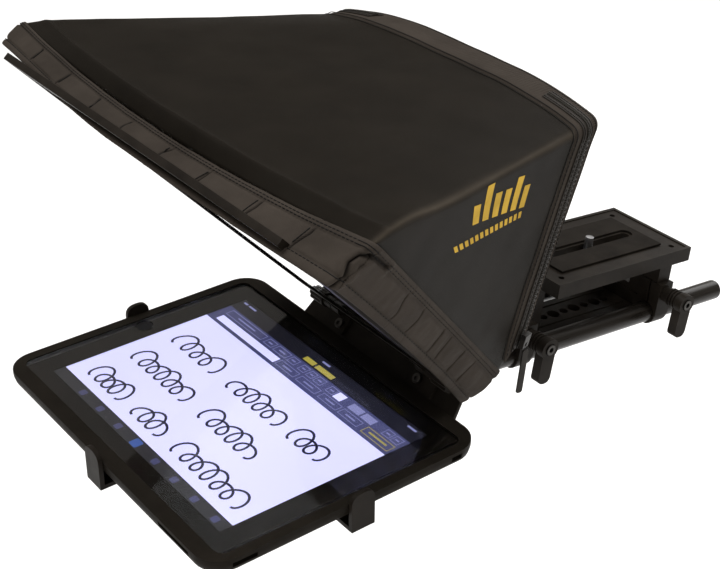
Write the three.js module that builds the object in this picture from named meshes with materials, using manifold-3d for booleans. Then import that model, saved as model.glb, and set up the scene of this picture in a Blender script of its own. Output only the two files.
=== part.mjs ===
// Teleprompter on 15 mm rods: a rod base with a raised camera plate, a slanted bracket that carries
// a tablet cradle and a framed beam splitter, and a fabric hood behind the glass.
// Millimetres, +Z up, +Y towards the camera operator. The origin is the tripod face under the base plate.
import * as THREE from 'three';
import { mergeVertices } from 'three/addons/utils/BufferGeometryUtils.js';
import Module from 'manifold-3d';

const wasm = await Module();
wasm.setup();

// ---------- driving dimensions ----------

const GAP = 0.3;                        // clearance between touching pieces

const ROD = { radius: 7.5, x: 30, z: 12, front: -151, rear: 154 };
const BASE = { halfWidth: 18, front: -66, rear: 87, thickness: 12 };
const CLAMP = { depth: 14, outer: 40, frontY: -58, rearY: 81.5, deck: 21.6, screwZ: 30 };
const LEVER = { hub: 7, inner: CLAMP.outer + 0.4, outer: 62, paddle: 27 };
const CAMERA_PLATE = { halfWidth: 39.5, front: -35, rear: 101.5, bottom: 52.7, thickness: 10.8 };

const BRACKET = { origin: [0, -173.7, -5], tilt: 56.6, thickness: 3, bottom: 84.6, top: 69.6, height: 86 };
const GLASS_HINGE = { y: 44.2, z: 9.7 };    // in the bracket's plane
const TRAY_HINGE = { y: 5.8, z: 10 };       // in the bracket's plane
const HINGE = { barrel: 5, pin: 2.5, bore: 2.8, pad: 2.6 };       // radii, and the pad's thickness
const GLASS_LEAF = { knuckle: [41, 49.6], barrel: [50, 58], pad: [36, 58], pin: 38, grip: 58.4 };
const TRAY_LEAF = { knuckle: [16, 29.6], barrel: [30, 40], pad: 44, pin: -42, grip: 40.4 };

const GLASS = {
  tilt: 41.25, bar: 12, thick: 4.6, pane: 2.4,
  start: 13.5, length: 255,                   // from the hinge's axis to the bottom and top bars
  bottom: 74, top: 137,                     // half-widths at those bars
};

const TRAY_TILT = 6.3;                      // the tablet's far edge stands this much higher
const SCREEN = [0, -272, 20];               // middle of the tablet's screen
const TABLET = { x: 120.6, y: 92.85, radius: 12, thick: 8.8, taper: 8, display: [98.55, 73.9] };
const CASE = { x: 124.5, y: 96.5, radius: 16, top: 1.2, bottom: -11, taper: 9, lip: [117.4, 86] };
const CRADLE = { top: CASE.bottom - GAP, thick: 3, centreY: 3.5, front: -70, rear: 84 };
const CLIP = { width: 16.5, thick: 3, top: 8 };
const BUTTONS = { home: -110.5, volume: 86, power: -74 };

const HOOD = {
  thick: 1.6, band: 2.4, seam: 0.25,
  edgeTop: [180, -340.5, 205], edgeBottom: [84.5, -160, 31.5],      // free edge of the band
  seamTop: [180, -325, 218], seamBottom: [90, -135, 50.5],          // seam behind the band
  zipTop: [117, -122, 220.8], zipBottom: [91.2, -126.2, 67],
  rearTop: [113, -109, 221], rearBottom: [88, -115, 70],
  crown: 11, edgeSag: 1, seamSag: [7, 9],      // the cloth's rise at the rear and its dip at the mouth
};
const LENS = { z: 112, radius: 52, wall: 2.4, length: 32 };

// ---------- materials ----------

function finish([color, roughness, metalness]) {
  return new THREE.MeshStandardMaterial({ color, roughness, metalness });
}

const FINISHES = {
  anodised: [0x1b1b1d, 0.45, 0.6],
  rod: [0x2a2a2c, 0.4, 0.7],
  moulded: [0x161617, 0.55, 0.0],
  rubber: [0x1d1c1b, 0.85, 0.0],
  steel: [0x8c8d90, 0.35, 1.0],
  blackGlass: [0x050506, 0.05, 0.0],
  clearGlass: [0xcfd6da, 0.02, 0.0],
  screen: [0xdcdcf6, 0.3, 0.0],
  nylon: [0x232221, 0.8, 0.0],
  webbing: [0x33312f, 0.85, 0.0],
  zip: [0x121213, 0.5, 0.2],
};

// ---------- geometry helpers ----------

function toSolid(geometry) {
  const bare = geometry.index ? geometry.clone() : geometry;
  bare.deleteAttribute('normal');
  bare.deleteAttribute('uv');
  const merged = mergeVertices(bare, 1e-4);
  return new wasm.Manifold(new wasm.Mesh({
    numProp: 3,
    vertProperties: new Float32Array(merged.attributes.position.array),
    triVerts: new Uint32Array(merged.index.array),
  }));
}

function toGeometry(solid) {
  const mesh = solid.getMesh();
  const geometry = new THREE.BufferGeometry();
  geometry.setAttribute('position', new THREE.BufferAttribute(new Float32Array(mesh.vertProperties), 3));
  geometry.setIndex(new THREE.BufferAttribute(new Uint32Array(mesh.triVerts), 1));
  geometry.computeVertexNormals();
  return geometry;
}

const join = (...shapes) => toGeometry(shapes.map(toSolid).reduce((a, b) => a.add(b)));
const cut = (shape, ...tools) => (
  toGeometry(tools.map(toSolid).reduce((a, b) => a.subtract(b), toSolid(shape)))
);
const common = (a, b) => toGeometry(toSolid(a).intersect(toSolid(b)));

function box(x0, x1, y0, y1, z0, z1) {
  const geometry = new THREE.BoxGeometry(x1 - x0, y1 - y0, z1 - z0);
  return geometry.translate((x0 + x1) / 2, (y0 + y1) / 2, (z0 + z1) / 2);
}

function cylinder(axis, radius, from, to, [a, b], segments = 32, endRadius = radius) {
  const geometry = new THREE.CylinderGeometry(endRadius, radius, to - from, segments);
  geometry.translate(0, (from + to) / 2, 0);
  if (axis === 'x') return geometry.rotateZ(-Math.PI / 2).translate(0, a, b);
  if (axis === 'y') return geometry.translate(a, 0, b);
  return geometry.rotateX(Math.PI / 2).translate(a, b, 0);
}

function outline(points) {
  return new THREE.Shape(points.map(([x, y]) => new THREE.Vector2(x, y)));
}

function roundedRect(halfX, halfY, radius) {
  const shape = new THREE.Shape();
  shape.absarc(halfX - radius, halfY - radius, radius, 0, Math.PI / 2);
  shape.absarc(radius - halfX, halfY - radius, radius, Math.PI / 2, Math.PI);
  shape.absarc(radius - halfX, radius - halfY, radius, Math.PI, 1.5 * Math.PI);
  shape.absarc(halfX - radius, radius - halfY, radius, 1.5 * Math.PI, 2 * Math.PI);
  return shape;
}

function slab(shape, z0, z1, curveSegments = 5) {
  const geometry = new THREE.ExtrudeGeometry(shape, { depth: z1 - z0, bevelEnabled: false, curveSegments });
  return geometry.translate(0, 0, z0);
}

// A shallow dish: full size from its rounded shoulder up to top, and narrower by taper at the bottom.
function dish(halfX, halfY, radius, top, bottom, taper) {
  const height = top - bottom;
  const shoulder = 0.7 * height;
  const floor = roundedRect(halfX - taper, halfY - taper, radius - taper + 2);
  const geometry = new THREE.ExtrudeGeometry(floor, {
    depth: 2 * height, bevelEnabled: true, bevelSize: taper, bevelThickness: shoulder, bevelSegments: 3,
    curveSegments: 4,
  });
  geometry.translate(0, 0, bottom + shoulder);
  return common(geometry, box(-halfX - 1, halfX + 1, -halfY - 1, halfY + 1, bottom, top));
}

// A sheet over a patch: at(u, v) gives the middle surface for u and v from 0 to 1.
function sheet(at, thickness, nu, nv) {
  const geometry = new THREE.BoxGeometry(1, 1, 1, nu, nv, 1);
  const position = geometry.attributes.position;
  const step = 1e-3;
  for (let i = 0; i < position.count; i += 1) {
    const u = position.getX(i) + 0.5;
    const v = position.getY(i) + 0.5;
    const along = at(u + step, v).sub(at(u - step, v));
    const across = at(u, v + step).sub(at(u, v - step));
    const normal = along.cross(across).normalize();
    const point = at(u, v).addScaledVector(normal, position.getZ(i) * thickness);
    position.setXYZ(i, point.x, point.y, point.z);
  }
  return geometry;
}

const vec = (p) => new THREE.Vector3(...p);
const flip = ([x, y, z]) => [-x, y, z];

// The bilinear patch on four corners, drawn in at the ends of a-b and at the ends of a-d.
function patch(a, b, c, d, insetAlong, insetUp) {
  const { lerp } = THREE.MathUtils;
  const [pa, pb, pc, pd] = [a, b, c, d].map(vec);
  const wide = (t) => lerp(pa.distanceTo(pb), pd.distanceTo(pc), t);
  const high = (s) => lerp(pa.distanceTo(pd), pb.distanceTo(pc), s);
  return (u, v) => {
    const s = lerp(insetAlong / wide(v), 1 - insetAlong / wide(v), u);
    const t = lerp(insetUp / high(u), 1 - insetUp / high(u), v);
    return pa.clone().lerp(pb, s).lerp(pd.clone().lerp(pc, s), t);
  };
}

// ---------- assembly ----------

const object = new THREE.Group();

function place(parent, name, geometry, look) {
  const mesh = new THREE.Mesh(geometry, finish(FINISHES[look]));
  mesh.name = name;
  parent.add(mesh);
}

const deg = THREE.MathUtils.degToRad;

function frameAt(position, tilt) {
  const group = new THREE.Group();
  group.position.set(...position);
  group.rotation.x = deg(tilt);
  object.add(group);
  return group;
}

const SIDES = [['left', -1], ['right', 1]];

// ---------- rod base ----------

function basePlate() {
  const body = box(-BASE.halfWidth, BASE.halfWidth, BASE.front, BASE.rear, 0, BASE.thickness);
  const holes = [];
  for (let i = -4; i <= 5; i += 1) {
    const radius = i % 2 ? 3.3 : 4.8;
    holes.push(cylinder('z', radius, BASE.thickness - 6, BASE.thickness + 1, [0, 10.6 * i + 8], 12));
  }
  for (const y of [-25, 25]) holes.push(cylinder('z', 3.3, -1, 5, [0, y], 12));
  for (const side of [-1, 1]) {
    holes.push(box(side * 11 - 0.8, side * 11 + 0.8, BASE.front + 16, BASE.rear - 16, 11, 13));
  }
  return cut(body, ...holes);
}

// The clamp bridges the base plate and grips both rods; a slit over the right rod lets its screw pinch it.
function clampBlock(y) {
  const y0 = y - CLAMP.depth / 2;
  const y1 = y + CLAMP.depth / 2;
  const jaw = ROD.radius + 1.8;
  const low = ROD.z - jaw;
  const bridge = box(-ROD.x, ROD.x, y0, y1, low, CLAMP.deck);
  const jaws = SIDES.map(([, s]) => cylinder('y', jaw, y0, y1, [s * ROD.x, ROD.z], 28));
  const riser = box(20, CLAMP.outer, y0, y1, ROD.z, CLAMP.screwZ + 8);
  const ear = cylinder('x', 8, 20, CLAMP.outer, [y, CLAMP.screwZ], 20);
  const bore = ROD.radius + GAP;
  const bores = SIDES.map(([, s]) => cylinder('y', bore, y0 - 1, y1 + 1, [s * ROD.x, ROD.z], 28));
  const seat = box(-BASE.halfWidth - GAP, BASE.halfWidth + GAP, y0 - 1, y1 + 1, 0, BASE.thickness + GAP);
  const slit = box(ROD.x - 0.8, ROD.x + 0.8, y0 - 1, y1 + 1, ROD.z, CLAMP.screwZ + 9);
  const screwHole = cylinder('x', 3.3, ROD.x + 0.8, CLAMP.outer + 1, [y, CLAMP.screwZ], 12);
  const block = common(join(bridge, ...jaws, riser, ear), box(-60, 60, y0, y1, -10, CLAMP.screwZ + 8));
  return cut(block, ...bores, seat, slit, screwHole);
}

// A clamping lever: a ribbed hub on the screw's axis and a paddle that hangs from it.
function lever(y) {
  const z = CLAMP.screwZ;
  const ribs = [0, 1, 2, 3].map((i) => cylinder('x', LEVER.hub, 46 + 2.6 * i, 47.4 + 2.6 * i, [y, z], 16));
  const core = cylinder('x', LEVER.hub - 1, LEVER.inner, LEVER.outer - 4, [y, z], 16);
  const head = cylinder('x', LEVER.hub + 0.6, 55.4, LEVER.outer - 1, [y, z], 20);
  const paddle = new THREE.Shape();
  paddle.moveTo(-5.4, 0);
  paddle.lineTo(-6.2, 4 - LEVER.paddle);
  paddle.quadraticCurveTo(-5.5, -LEVER.paddle, 0, -LEVER.paddle);
  paddle.quadraticCurveTo(4.6, -LEVER.paddle, 5, 5 - LEVER.paddle);
  paddle.lineTo(6.4, 0);
  const blade = slab(paddle, 0, 7.5).rotateX(Math.PI / 2).rotateZ(Math.PI / 2).translate(53, y, z);
  const bore = cylinder('x', 4.3, 46, LEVER.outer + 1, [y, z], 16);
  return cut(join(core, ...ribs, head, blade), bore);
}

function leverScrew(y) {
  const head = cylinder('x', 3.9, 46.4, LEVER.outer, [y, CLAMP.screwZ], 16);
  const socket = cylinder('x', 2, LEVER.outer - 3.5, LEVER.outer + 1, [y, CLAMP.screwZ], 6);
  return cut(head, socket);
}

function buildBase() {
  place(object, 'base_plate', basePlate(), 'anodised');
  for (const [end, y] of [['front', CLAMP.frontY], ['rear', CLAMP.rearY]]) {
    place(object, `${end}_clamp`, clampBlock(y), 'anodised');
    place(object, `${end}_lever`, lever(y), 'moulded');
    place(object, `${end}_lever_screw`, leverScrew(y), 'steel');
  }
  const top = CAMERA_PLATE.bottom - GAP;
  const frontRiser = box(-14, 14, -34, -20, BASE.thickness + GAP, top);
  place(object, 'front_riser', cut(frontRiser, box(-8, 8, -35, -19, 20, 44)), 'anodised');
  const foot = CLAMP.deck + GAP;
  const rearRiser = box(-36, 19.7, CLAMP.rearY - 6.5, CLAMP.rearY + 6.5, foot, top);
  const hood = box(19, 36, CLAMP.rearY - 6.5, CLAMP.rearY + 6.5, CLAMP.screwZ + 8 + GAP, top);
  const window = box(-26, 10, CLAMP.rearY - 8, CLAMP.rearY + 8, 27, 45);
  place(object, 'rear_riser', cut(join(rearRiser, hood), window), 'anodised');
}

function cameraPlate() {
  const { halfWidth, front, rear, bottom, thickness } = CAMERA_PLATE;
  const top = bottom + thickness;
  const body = box(-halfWidth, halfWidth, front, rear, bottom, top);
  const recess = box(-halfWidth + 3, halfWidth - 3, front + 3, rear - 3, top - 0.8, top + 1);
  const slot = slab(roundedRect(3.8, 42, 3.8), bottom - 1, top + 1).translate(0, 33, 0);
  const step = slab(roundedRect(9.6, 48, 9.6), bottom - 1, bottom + 4).translate(0, 33, 0);
  const corners = [[-30, -24], [30, -24], [-30, 90], [30, 90]];
  const screws = corners.map((at) => cylinder('z', 2.2, top - 4, top, at, 12));
  return cut(body, recess, slot, step, ...screws);
}

function cameraPad() {
  const { halfWidth, front, rear, bottom, thickness } = CAMERA_PLATE;
  const floor = bottom + thickness - 0.8 + GAP;
  const rubber = box(-halfWidth + 14, halfWidth - 14, front + 16, rear - 18, floor, floor + 1.5);
  return cut(rubber, slab(roundedRect(5.5, 44, 5.5), floor - 1, floor + 3).translate(0, 33, 0));
}

function buildCameraMount() {
  place(object, 'camera_plate', cameraPlate(), 'anodised');
  place(object, 'camera_pad', cameraPad(), 'rubber');
  const y = 33;
  const under = CAMERA_PLATE.bottom + 4;
  const ring = cylinder('z', 8.6, under - 1.8, under - GAP, [0, y]);
  place(object, 'camera_washer', cut(ring, cylinder('z', 3.6, 50, 60, [0, y], 20)), 'steel');
  const grip = cylinder('z', 8, 46, under - 2.1, [0, y], 20);
  const shank = cylinder('z', 3.1, 46, CAMERA_PLATE.bottom + CAMERA_PLATE.thickness + 6, [0, y], 20);
  place(object, 'camera_screw', join(grip, shank), 'steel');
}

// ---------- rods and slanted bracket ----------

function buildRods(bracket) {
  const back = -BRACKET.thickness / 2 - GAP;
  for (const [side, s] of SIDES) {
    const x = s * ROD.x;
    const middle = cylinder('y', ROD.radius, ROD.front, ROD.rear - 1, [x, ROD.z], 28);
    const tip = cylinder('y', ROD.radius, ROD.rear - 1, ROD.rear, [x, ROD.z], 28, ROD.radius - 1);
    place(object, `rod_${side}`, join(middle, tip), 'rod');
    const sleeve = cylinder('y', 11, -175, ROD.front + 26, [x, ROD.z], 28);
    const bore = cylinder('y', ROD.radius + GAP, ROD.front - GAP, -100, [x, ROD.z], 28);
    const front = box(-60, 60, -60, 120, back, 60);
    front.rotateX(deg(BRACKET.tilt)).translate(...BRACKET.origin);
    place(object, `rod_socket_${side}`, cut(sleeve, bore, front), 'anodised');
  }
  const { bottom, top, height, thickness } = BRACKET;
  const face = outline([
    [-bottom, 6], [-bottom + 6, 0], [bottom - 6, 0], [bottom, 6], [top, height], [-top, height],
  ]);
  const notch = box(-26, 26, -1, 12, -3, 3);
  const holes = [[-30, 20], [30, 20]].map((at) => cylinder('z', 3.2, -5, 5, at, 16));
  const plate = cut(slab(face, -thickness / 2, thickness / 2), notch, ...holes);
  place(bracket, 'bracket_plate', plate, 'anodised');
}

const ordered = (...pair) => pair.sort((a, b) => a - b);

// A hinge's pin bore, through everything near its axis.
const hingeBore = (axis) => cylinder('x', HINGE.bore, -150, 150, axis, 20);

// The bracket's half of each glass hinge: a bolted pad with a web that ends in a barrel.
function glassLeaf(s) {
  const floor = BRACKET.thickness / 2 + GAP;
  const { y, z } = GLASS_HINGE;
  const [x0, x1] = ordered(...GLASS_LEAF.pad.map((x) => s * x));
  const [b0, b1] = ordered(...GLASS_LEAF.barrel.map((x) => s * x));
  const pad = box(x0, x1, y - 16, y + 7, floor, floor + HINGE.pad);
  const web = box(b0, b1, y - 4.4, y + 4.4, floor, z);
  const round = cylinder('x', HINGE.barrel, b0, b1, [y, z], 24);
  return cut(join(pad, web, round), hingeBore([y, z]));
}

function bolt(x, y, floor) {
  const head = cylinder('z', 3.4, floor, floor + 2.2, [x, y], 18);
  return cut(head, cylinder('z', 1.7, floor + 0.9, floor + 3, [x, y], 6));
}

// The pad that carries both barrels of the tray's hinge.
function trayLeaf() {
  const floor = BRACKET.thickness / 2 + GAP;
  const { y, z } = TRAY_HINGE;
  const pad = box(-TRAY_LEAF.pad, TRAY_LEAF.pad, 13, 21, floor, floor + HINGE.pad);
  const arms = SIDES.flatMap(([, s]) => {
    const [a, b] = ordered(...TRAY_LEAF.barrel.map((x) => s * x));
    return [box(a, b, y - 4.4, 18, floor, z), cylinder('x', HINGE.barrel, a, b, [y, z], 24)];
  });
  return cut(join(pad, ...arms), hingeBore([y, z]));
}

function buildHinges(bracket) {
  const padTop = BRACKET.thickness / 2 + GAP + HINGE.pad;
  for (const [side, s] of SIDES) {
    place(bracket, `glass_hinge_${side}`, glassLeaf(s), 'anodised');
    place(bracket, `glass_hinge_bolt_${side}`, bolt(s * 42, GLASS_HINGE.y - 10, padTop + 0.1), 'steel');
    const turner = knob(s, GLASS_LEAF.pin, GLASS_LEAF.grip, GLASS_HINGE, 6.4, 14);
    place(bracket, `glass_knob_${side}`, turner, 'moulded');
  }
  place(bracket, 'tray_hinge', trayLeaf(), 'anodised');
  place(bracket, 'tray_knob', knob(1, TRAY_LEAF.pin, TRAY_LEAF.grip, TRAY_HINGE, 8, 13), 'moulded');
}

// A hand knob with lobes and its own pin, along X.
function knob(side, pinFrom, gripFrom, hinge, radius, length) {
  const span = (a, b) => ordered(side * a, side * b);
  const at = [hinge.y, hinge.z];
  const pin = cylinder('x', HINGE.pin, ...span(pinFrom, gripFrom + 2), at, 20);
  const grip = cylinder('x', radius, ...span(gripFrom, gripFrom + length), at, 24);
  const flutes = [];
  for (let i = 0; i < 8; i += 1) {
    const angle = (i * Math.PI) / 4;
    const centre = [hinge.y + (radius + 1) * Math.cos(angle), hinge.z + (radius + 1) * Math.sin(angle)];
    flutes.push(cylinder('x', 1.9, ...span(gripFrom + 2, gripFrom + length + 1), centre, 8));
  }
  return cut(join(pin, grip), ...flutes);
}

// ---------- beam splitter and its frame ----------

// Half-width of the frame's centre line at a distance up the glass.
const frameHalf = (y) => THREE.MathUtils.mapLinear(y, GLASS.start, GLASS.length, GLASS.bottom, GLASS.top);

function trapezoid(inset, low = GLASS.start + inset, high = GLASS.length - inset) {
  const side = inset * 1.035;
  return outline([
    [side - frameHalf(low), low], [frameHalf(low) - side, low],
    [frameHalf(high) - side, high], [side - frameHalf(high), high],
  ]);
}

function frameBars() {
  const half = GLASS.bar / 2;
  const ring = cut(
    slab(trapezoid(-half), -GLASS.thick / 2, GLASS.thick / 2),
    slab(trapezoid(half), -10, 10),
    slab(trapezoid(1), -GLASS.pane / 2 - GAP, GLASS.pane / 2 + GAP),
  );
  const low = GLASS.start + half;
  const high = GLASS.length - half;
  const bottomBar = common(ring, box(-300, 300, GLASS.start - half, low, -10, 10));
  const topBar = common(ring, box(-300, 300, high, GLASS.length + half, -10, 10));
  const sides = SIDES.map(([side, s]) => {
    const [a, b] = ordered(0, s * 300);
    return [side, common(ring, box(a, b, low + GAP, high - GAP, -10, 10))];
  });
  return { bottomBar, topBar, sides };
}

function buildGlass(glass) {
  const { bottomBar, topBar, sides } = frameBars();
  const knuckles = SIDES.flatMap(([, s]) => {
    const [a, b] = ordered(...GLASS_LEAF.knuckle.map((x) => s * x));
    return [cylinder('x', HINGE.barrel, a, b, [0, 0], 24), box(a, b, 0, GLASS.start - 2, -3, 3)];
  });
  place(glass, 'frame_bottom', cut(join(bottomBar, ...knuckles), hingeBore([0, 0])), 'anodised');
  place(glass, 'frame_top', topBar, 'anodised');
  for (const [side, bar] of sides) place(glass, `frame_${side}`, bar, 'anodised');
  place(glass, 'beam_splitter', slab(trapezoid(1.5), -GLASS.pane / 2, GLASS.pane / 2), 'clearGlass');
}

// ---------- tablet, case and cradle ----------

function tabletCase() {
  const shell = dish(CASE.x, CASE.y, CASE.radius, CASE.top, CASE.bottom, CASE.taper);
  const depth = TABLET.thick + GAP;
  const pocket = dish(TABLET.x + GAP, TABLET.y + GAP, TABLET.radius, GAP, -depth, TABLET.taper);
  const window = slab(roundedRect(CASE.lip[0], CASE.lip[1], 6), -2, 5);
  const volume = box(BUTTONS.volume - 16, BUTTONS.volume + 16, -CASE.y - 2, -TABLET.y + 3, -4.6, -1.2);
  const power = box(TABLET.x - 3, CASE.x + 2, BUTTONS.power - 8, BUTTONS.power + 8, -4.6, -1.2);
  const jack = box(TABLET.x - 3, CASE.x + 2, 72, 80, -5, -1.2);
  const dock = box(-CASE.x - 2, -TABLET.x + 3, -15, 15, -6, -2);
  return cut(shell, pocket, window, volume, power, jack, dock);
}

function buildTablet(tray) {
  place(tray, 'tablet_case', tabletCase(), 'rubber');
  const body = dish(TABLET.x, TABLET.y, TABLET.radius, 0, -TABLET.thick, TABLET.taper);
  const well = slab(roundedRect(TABLET.x - 2, TABLET.y - 2, 9), -2.4, 1);
  place(tray, 'tablet_body', cut(body, well), 'moulded');
  const cover = slab(roundedRect(TABLET.x - 2 - GAP, TABLET.y - 2 - GAP, 9), -0.9, 0);
  const homeHole = cylinder('z', 5.9, -2, 1, [BUTTONS.home, 0], 28);
  place(tray, 'tablet_glass', cut(cover, homeHole), 'blackGlass');
  const [dx, dy] = TABLET.display;
  place(tray, 'display_panel', box(-dx, dx, -dy, dy, -2.1, -1.2), 'screen');
  place(tray, 'home_button', cylinder('z', 5.5, -1.7, -0.15, [BUTTONS.home, 0], 28), 'moulded');
  const volume = box(BUTTONS.volume - 11, BUTTONS.volume + 11, -TABLET.y - 1.6, -TABLET.y - GAP, -3.6, -1.8);
  place(tray, 'volume_rocker', volume, 'moulded');
  const power = box(TABLET.x + GAP, TABLET.x + 1.6, BUTTONS.power - 5, BUTTONS.power + 5, -3.6, -1.8);
  place(tray, 'power_button', power, 'moulded');
}

// The cross-shaped plate under the tablet, slotted for the three clip arms, with the tray's hinge knuckles.
function cradlePlate(hinge) {
  const { top, thick, centreY, front, rear } = CRADLE;
  const low = top - thick;
  const spine = box(-20, 20, front, rear, low, top);
  const cross = box(-90, 90, centreY - 14, centreY + 14, low, top);
  const slot = (halfX, halfY, x, y) => (
    slab(roundedRect(halfX, halfY, 2.9), low - 1, top + 1).translate(x, y, 0)
  );
  const slots = [slot(16, 2.9, -66, centreY), slot(16, 2.9, 66, centreY), slot(2.9, 13, 0, front + 20)];
  const knuckles = SIDES.flatMap(([, s]) => {
    const [a, b] = ordered(...TRAY_LEAF.knuckle.map((x) => s * x));
    const web = box(a, b, hinge[0] - HINGE.barrel, hinge[0] + 1, hinge[1], top);
    return [cylinder('x', HINGE.barrel, a, b, hinge, 24), web];
  });
  const [inner, outer] = TRAY_LEAF.knuckle;
  const yoke = box(-outer, outer, rear - 10, hinge[0] + 1, low, top);
  const relief = box(GAP - inner, inner - GAP, rear, 120, -60, 10);
  return cut(join(spine, cross, yoke, ...knuckles), hingeBore(hinge), ...slots, relief);
}

// A bent strip along +X from the cradle, ending in an upright with an arched top.
function clipArm(inner, outer) {
  const top = CRADLE.top - CRADLE.thick - GAP;
  const half = CLIP.width / 2;
  const foot = box(inner, outer, -half, half, top - CLIP.thick, top);
  const arch = new THREE.Shape();
  arch.moveTo(-half, top - CLIP.thick);
  arch.lineTo(half, top - CLIP.thick);
  arch.lineTo(half, CLIP.top - 6.5);
  arch.bezierCurveTo(half, CLIP.top - 1.5, half - 3.5, CLIP.top, 0, CLIP.top);
  arch.bezierCurveTo(3.5 - half, CLIP.top, -half, CLIP.top - 1.5, -half, CLIP.top - 6.5);
  const upright = slab(arch, 0, CLIP.thick).rotateX(Math.PI / 2).rotateZ(Math.PI / 2);
  upright.translate(outer - CLIP.thick, 0, 0);
  const hole = cylinder('z', 2.6, top - 5, top + 1, [inner + 16, 0], 16);
  return cut(join(foot, upright), hole);
}

function clipKnob(x) {
  const top = CRADLE.top - CRADLE.thick - GAP;
  const grip = cylinder('z', 8, top - CLIP.thick - GAP - 9, top - CLIP.thick - GAP, [x, 0], 24);
  const shank = cylinder('z', 2.3, top - 10, CRADLE.top - 0.6, [x, 0], 16);
  return join(grip, shank);
}

function buildCradle(tray) {
  const hingeWorld = new THREE.Vector3(0, TRAY_HINGE.y, TRAY_HINGE.z);
  hingeWorld.applyAxisAngle(new THREE.Vector3(1, 0, 0), deg(BRACKET.tilt)).add(vec(BRACKET.origin));
  const local = hingeWorld.sub(vec(SCREEN)).applyAxisAngle(new THREE.Vector3(1, 0, 0), deg(-TRAY_TILT));
  place(tray, 'cradle_plate', cradlePlate([local.y, local.z]), 'anodised');
  const reach = (half) => half + GAP + CLIP.thick;
  const arms = [
    ['right', 0, CRADLE.centreY, 50, reach(CASE.x)],
    ['left', Math.PI, CRADLE.centreY, 50, reach(CASE.x)],
    ['front', -Math.PI / 2, 0, 34, reach(CASE.y)],
  ];
  for (const [name, turn, y, inner, outer] of arms) {
    place(tray, `clip_${name}`, clipArm(inner, outer).rotateZ(turn).translate(0, y, 0), 'anodised');
    place(tray, `clip_knob_${name}`, clipKnob(inner + 16).rotateZ(turn).translate(0, y, 0), 'moulded');
  }
}

// ---------- hood ----------

// The hood's top: v runs from the sagging seam at the mouth to the crowned rear edge.
function hoodTop(u, v) {
  const [x, y, z] = [0, 1, 2].map((i) => THREE.MathUtils.lerp(HOOD.seamTop[i], HOOD.rearTop[i], v));
  const across = 2 * u - 1;
  const dip = (1 - across ** 2) * (1 - v) ** 3;
  const rise = v * (1 - Math.abs(across) ** 5);
  return new THREE.Vector3(x * across, y - HOOD.seamSag[0] * dip, z + HOOD.crown * rise - HOOD.seamSag[1] * dip);
}

// The band over the mouth: v runs from its free edge to the seam.
function bandTop(u, v) {
  const across = 2 * u - 1;
  const [x, y, z] = HOOD.edgeTop;
  const edge = new THREE.Vector3(x * across, y, z - HOOD.edgeSag * (1 - across ** 2));
  return edge.lerp(hoodTop(u, 0), v);
}

function hoodRear(u, v) {
  const across = 2 * u - 1;
  const low = new THREE.Vector3(HOOD.rearBottom[0] * across, HOOD.rearBottom[1], HOOD.rearBottom[2]);
  return low.lerp(hoodTop(u, 1), v);
}

const drawIn = (at, du, dv) => (u, v) => {
  const { lerp } = THREE.MathUtils;
  return at(lerp(du, 1 - du, u), lerp(dv, 1 - dv, v));
};

// Corners of a side piece, mirrored and taken the other way round for the left side so that it faces out.
const cornersOn = (s, ...points) => (s > 0 ? points : points.map(flip).reverse());

function buildHood() {
  const { thick, band, seam, edgeTop, edgeBottom, seamTop, seamBottom, zipTop, zipBottom } = HOOD;
  place(object, 'hood_top', sheet(drawIn(hoodTop, 0.006, 0.006), thick, 14, 8), 'nylon');
  place(object, 'hood_rear', hoodRearPanel(), 'nylon');
  place(object, 'band_top', sheet(drawIn(bandTop, 0.007, 0.012), band, 10, 1), 'webbing');
  for (const [side, s] of SIDES) {
    const panel = patch(...cornersOn(s, seamBottom, zipBottom, zipTop, seamTop), seam, thick);
    place(object, `hood_side_${side}`, sheet(panel, thick, 6, 6), 'nylon');
    const strip = patch(...cornersOn(s, edgeBottom, seamBottom, seamTop, edgeTop), seam, band);
    place(object, `band_${side}`, sheet(strip, band, 1, 8), 'webbing');
    buildZip(side, s);
  }
  const half = LENS.wall / 2;
  const profile = [[LENS.radius - half, 0], [LENS.radius + half, 0], [LENS.radius + half, LENS.length - 4],
    [LENS.radius + half + 1.6, LENS.length - 2], [LENS.radius + half, LENS.length],
    [LENS.radius - half, LENS.length], [LENS.radius - half, 0]];
  const sleeve = new THREE.LatheGeometry(profile.map(([r, y]) => new THREE.Vector2(r, y)), 40);
  place(object, 'lens_sleeve', sleeve.translate(0, -113, LENS.z), 'nylon');
}

// The back of the hood with the strips that wrap round its sides to the zips, and the hole for the lens.
function hoodRearPanel() {
  const { thick, seam, zipTop, zipBottom, rearTop, rearBottom } = HOOD;
  const panel = sheet(drawIn(hoodRear, 0, 0.012), thick, 12, 4);
  const strips = SIDES.map(([, s]) => {
    const corners = cornersOn(s, zipBottom, rearBottom, rearTop, zipTop);
    return sheet(patch(...corners, seam, thick), thick, 1, 4);
  });
  const edges = SIDES.map(([, s]) => {
    const run = new THREE.LineCurve3(vec(rearBottom), vec(rearTop));
    const [low, high] = [run.getPoint(0.012), run.getPoint(0.988)];
    for (const end of [low, high]) end.x *= s;
    const round = new THREE.Shape().absarc(0, 0, 1.4, 0, 2 * Math.PI);
    return new THREE.ExtrudeGeometry(round, {
      steps: 1, extrudePath: new THREE.LineCurve3(low, high), curveSegments: 5,
    });
  });
  const opening = cylinder('y', LENS.radius + LENS.wall + 0.3, -140, -90, [0, LENS.z], 40);
  return cut(join(panel, ...strips, ...edges), opening);
}

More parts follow.
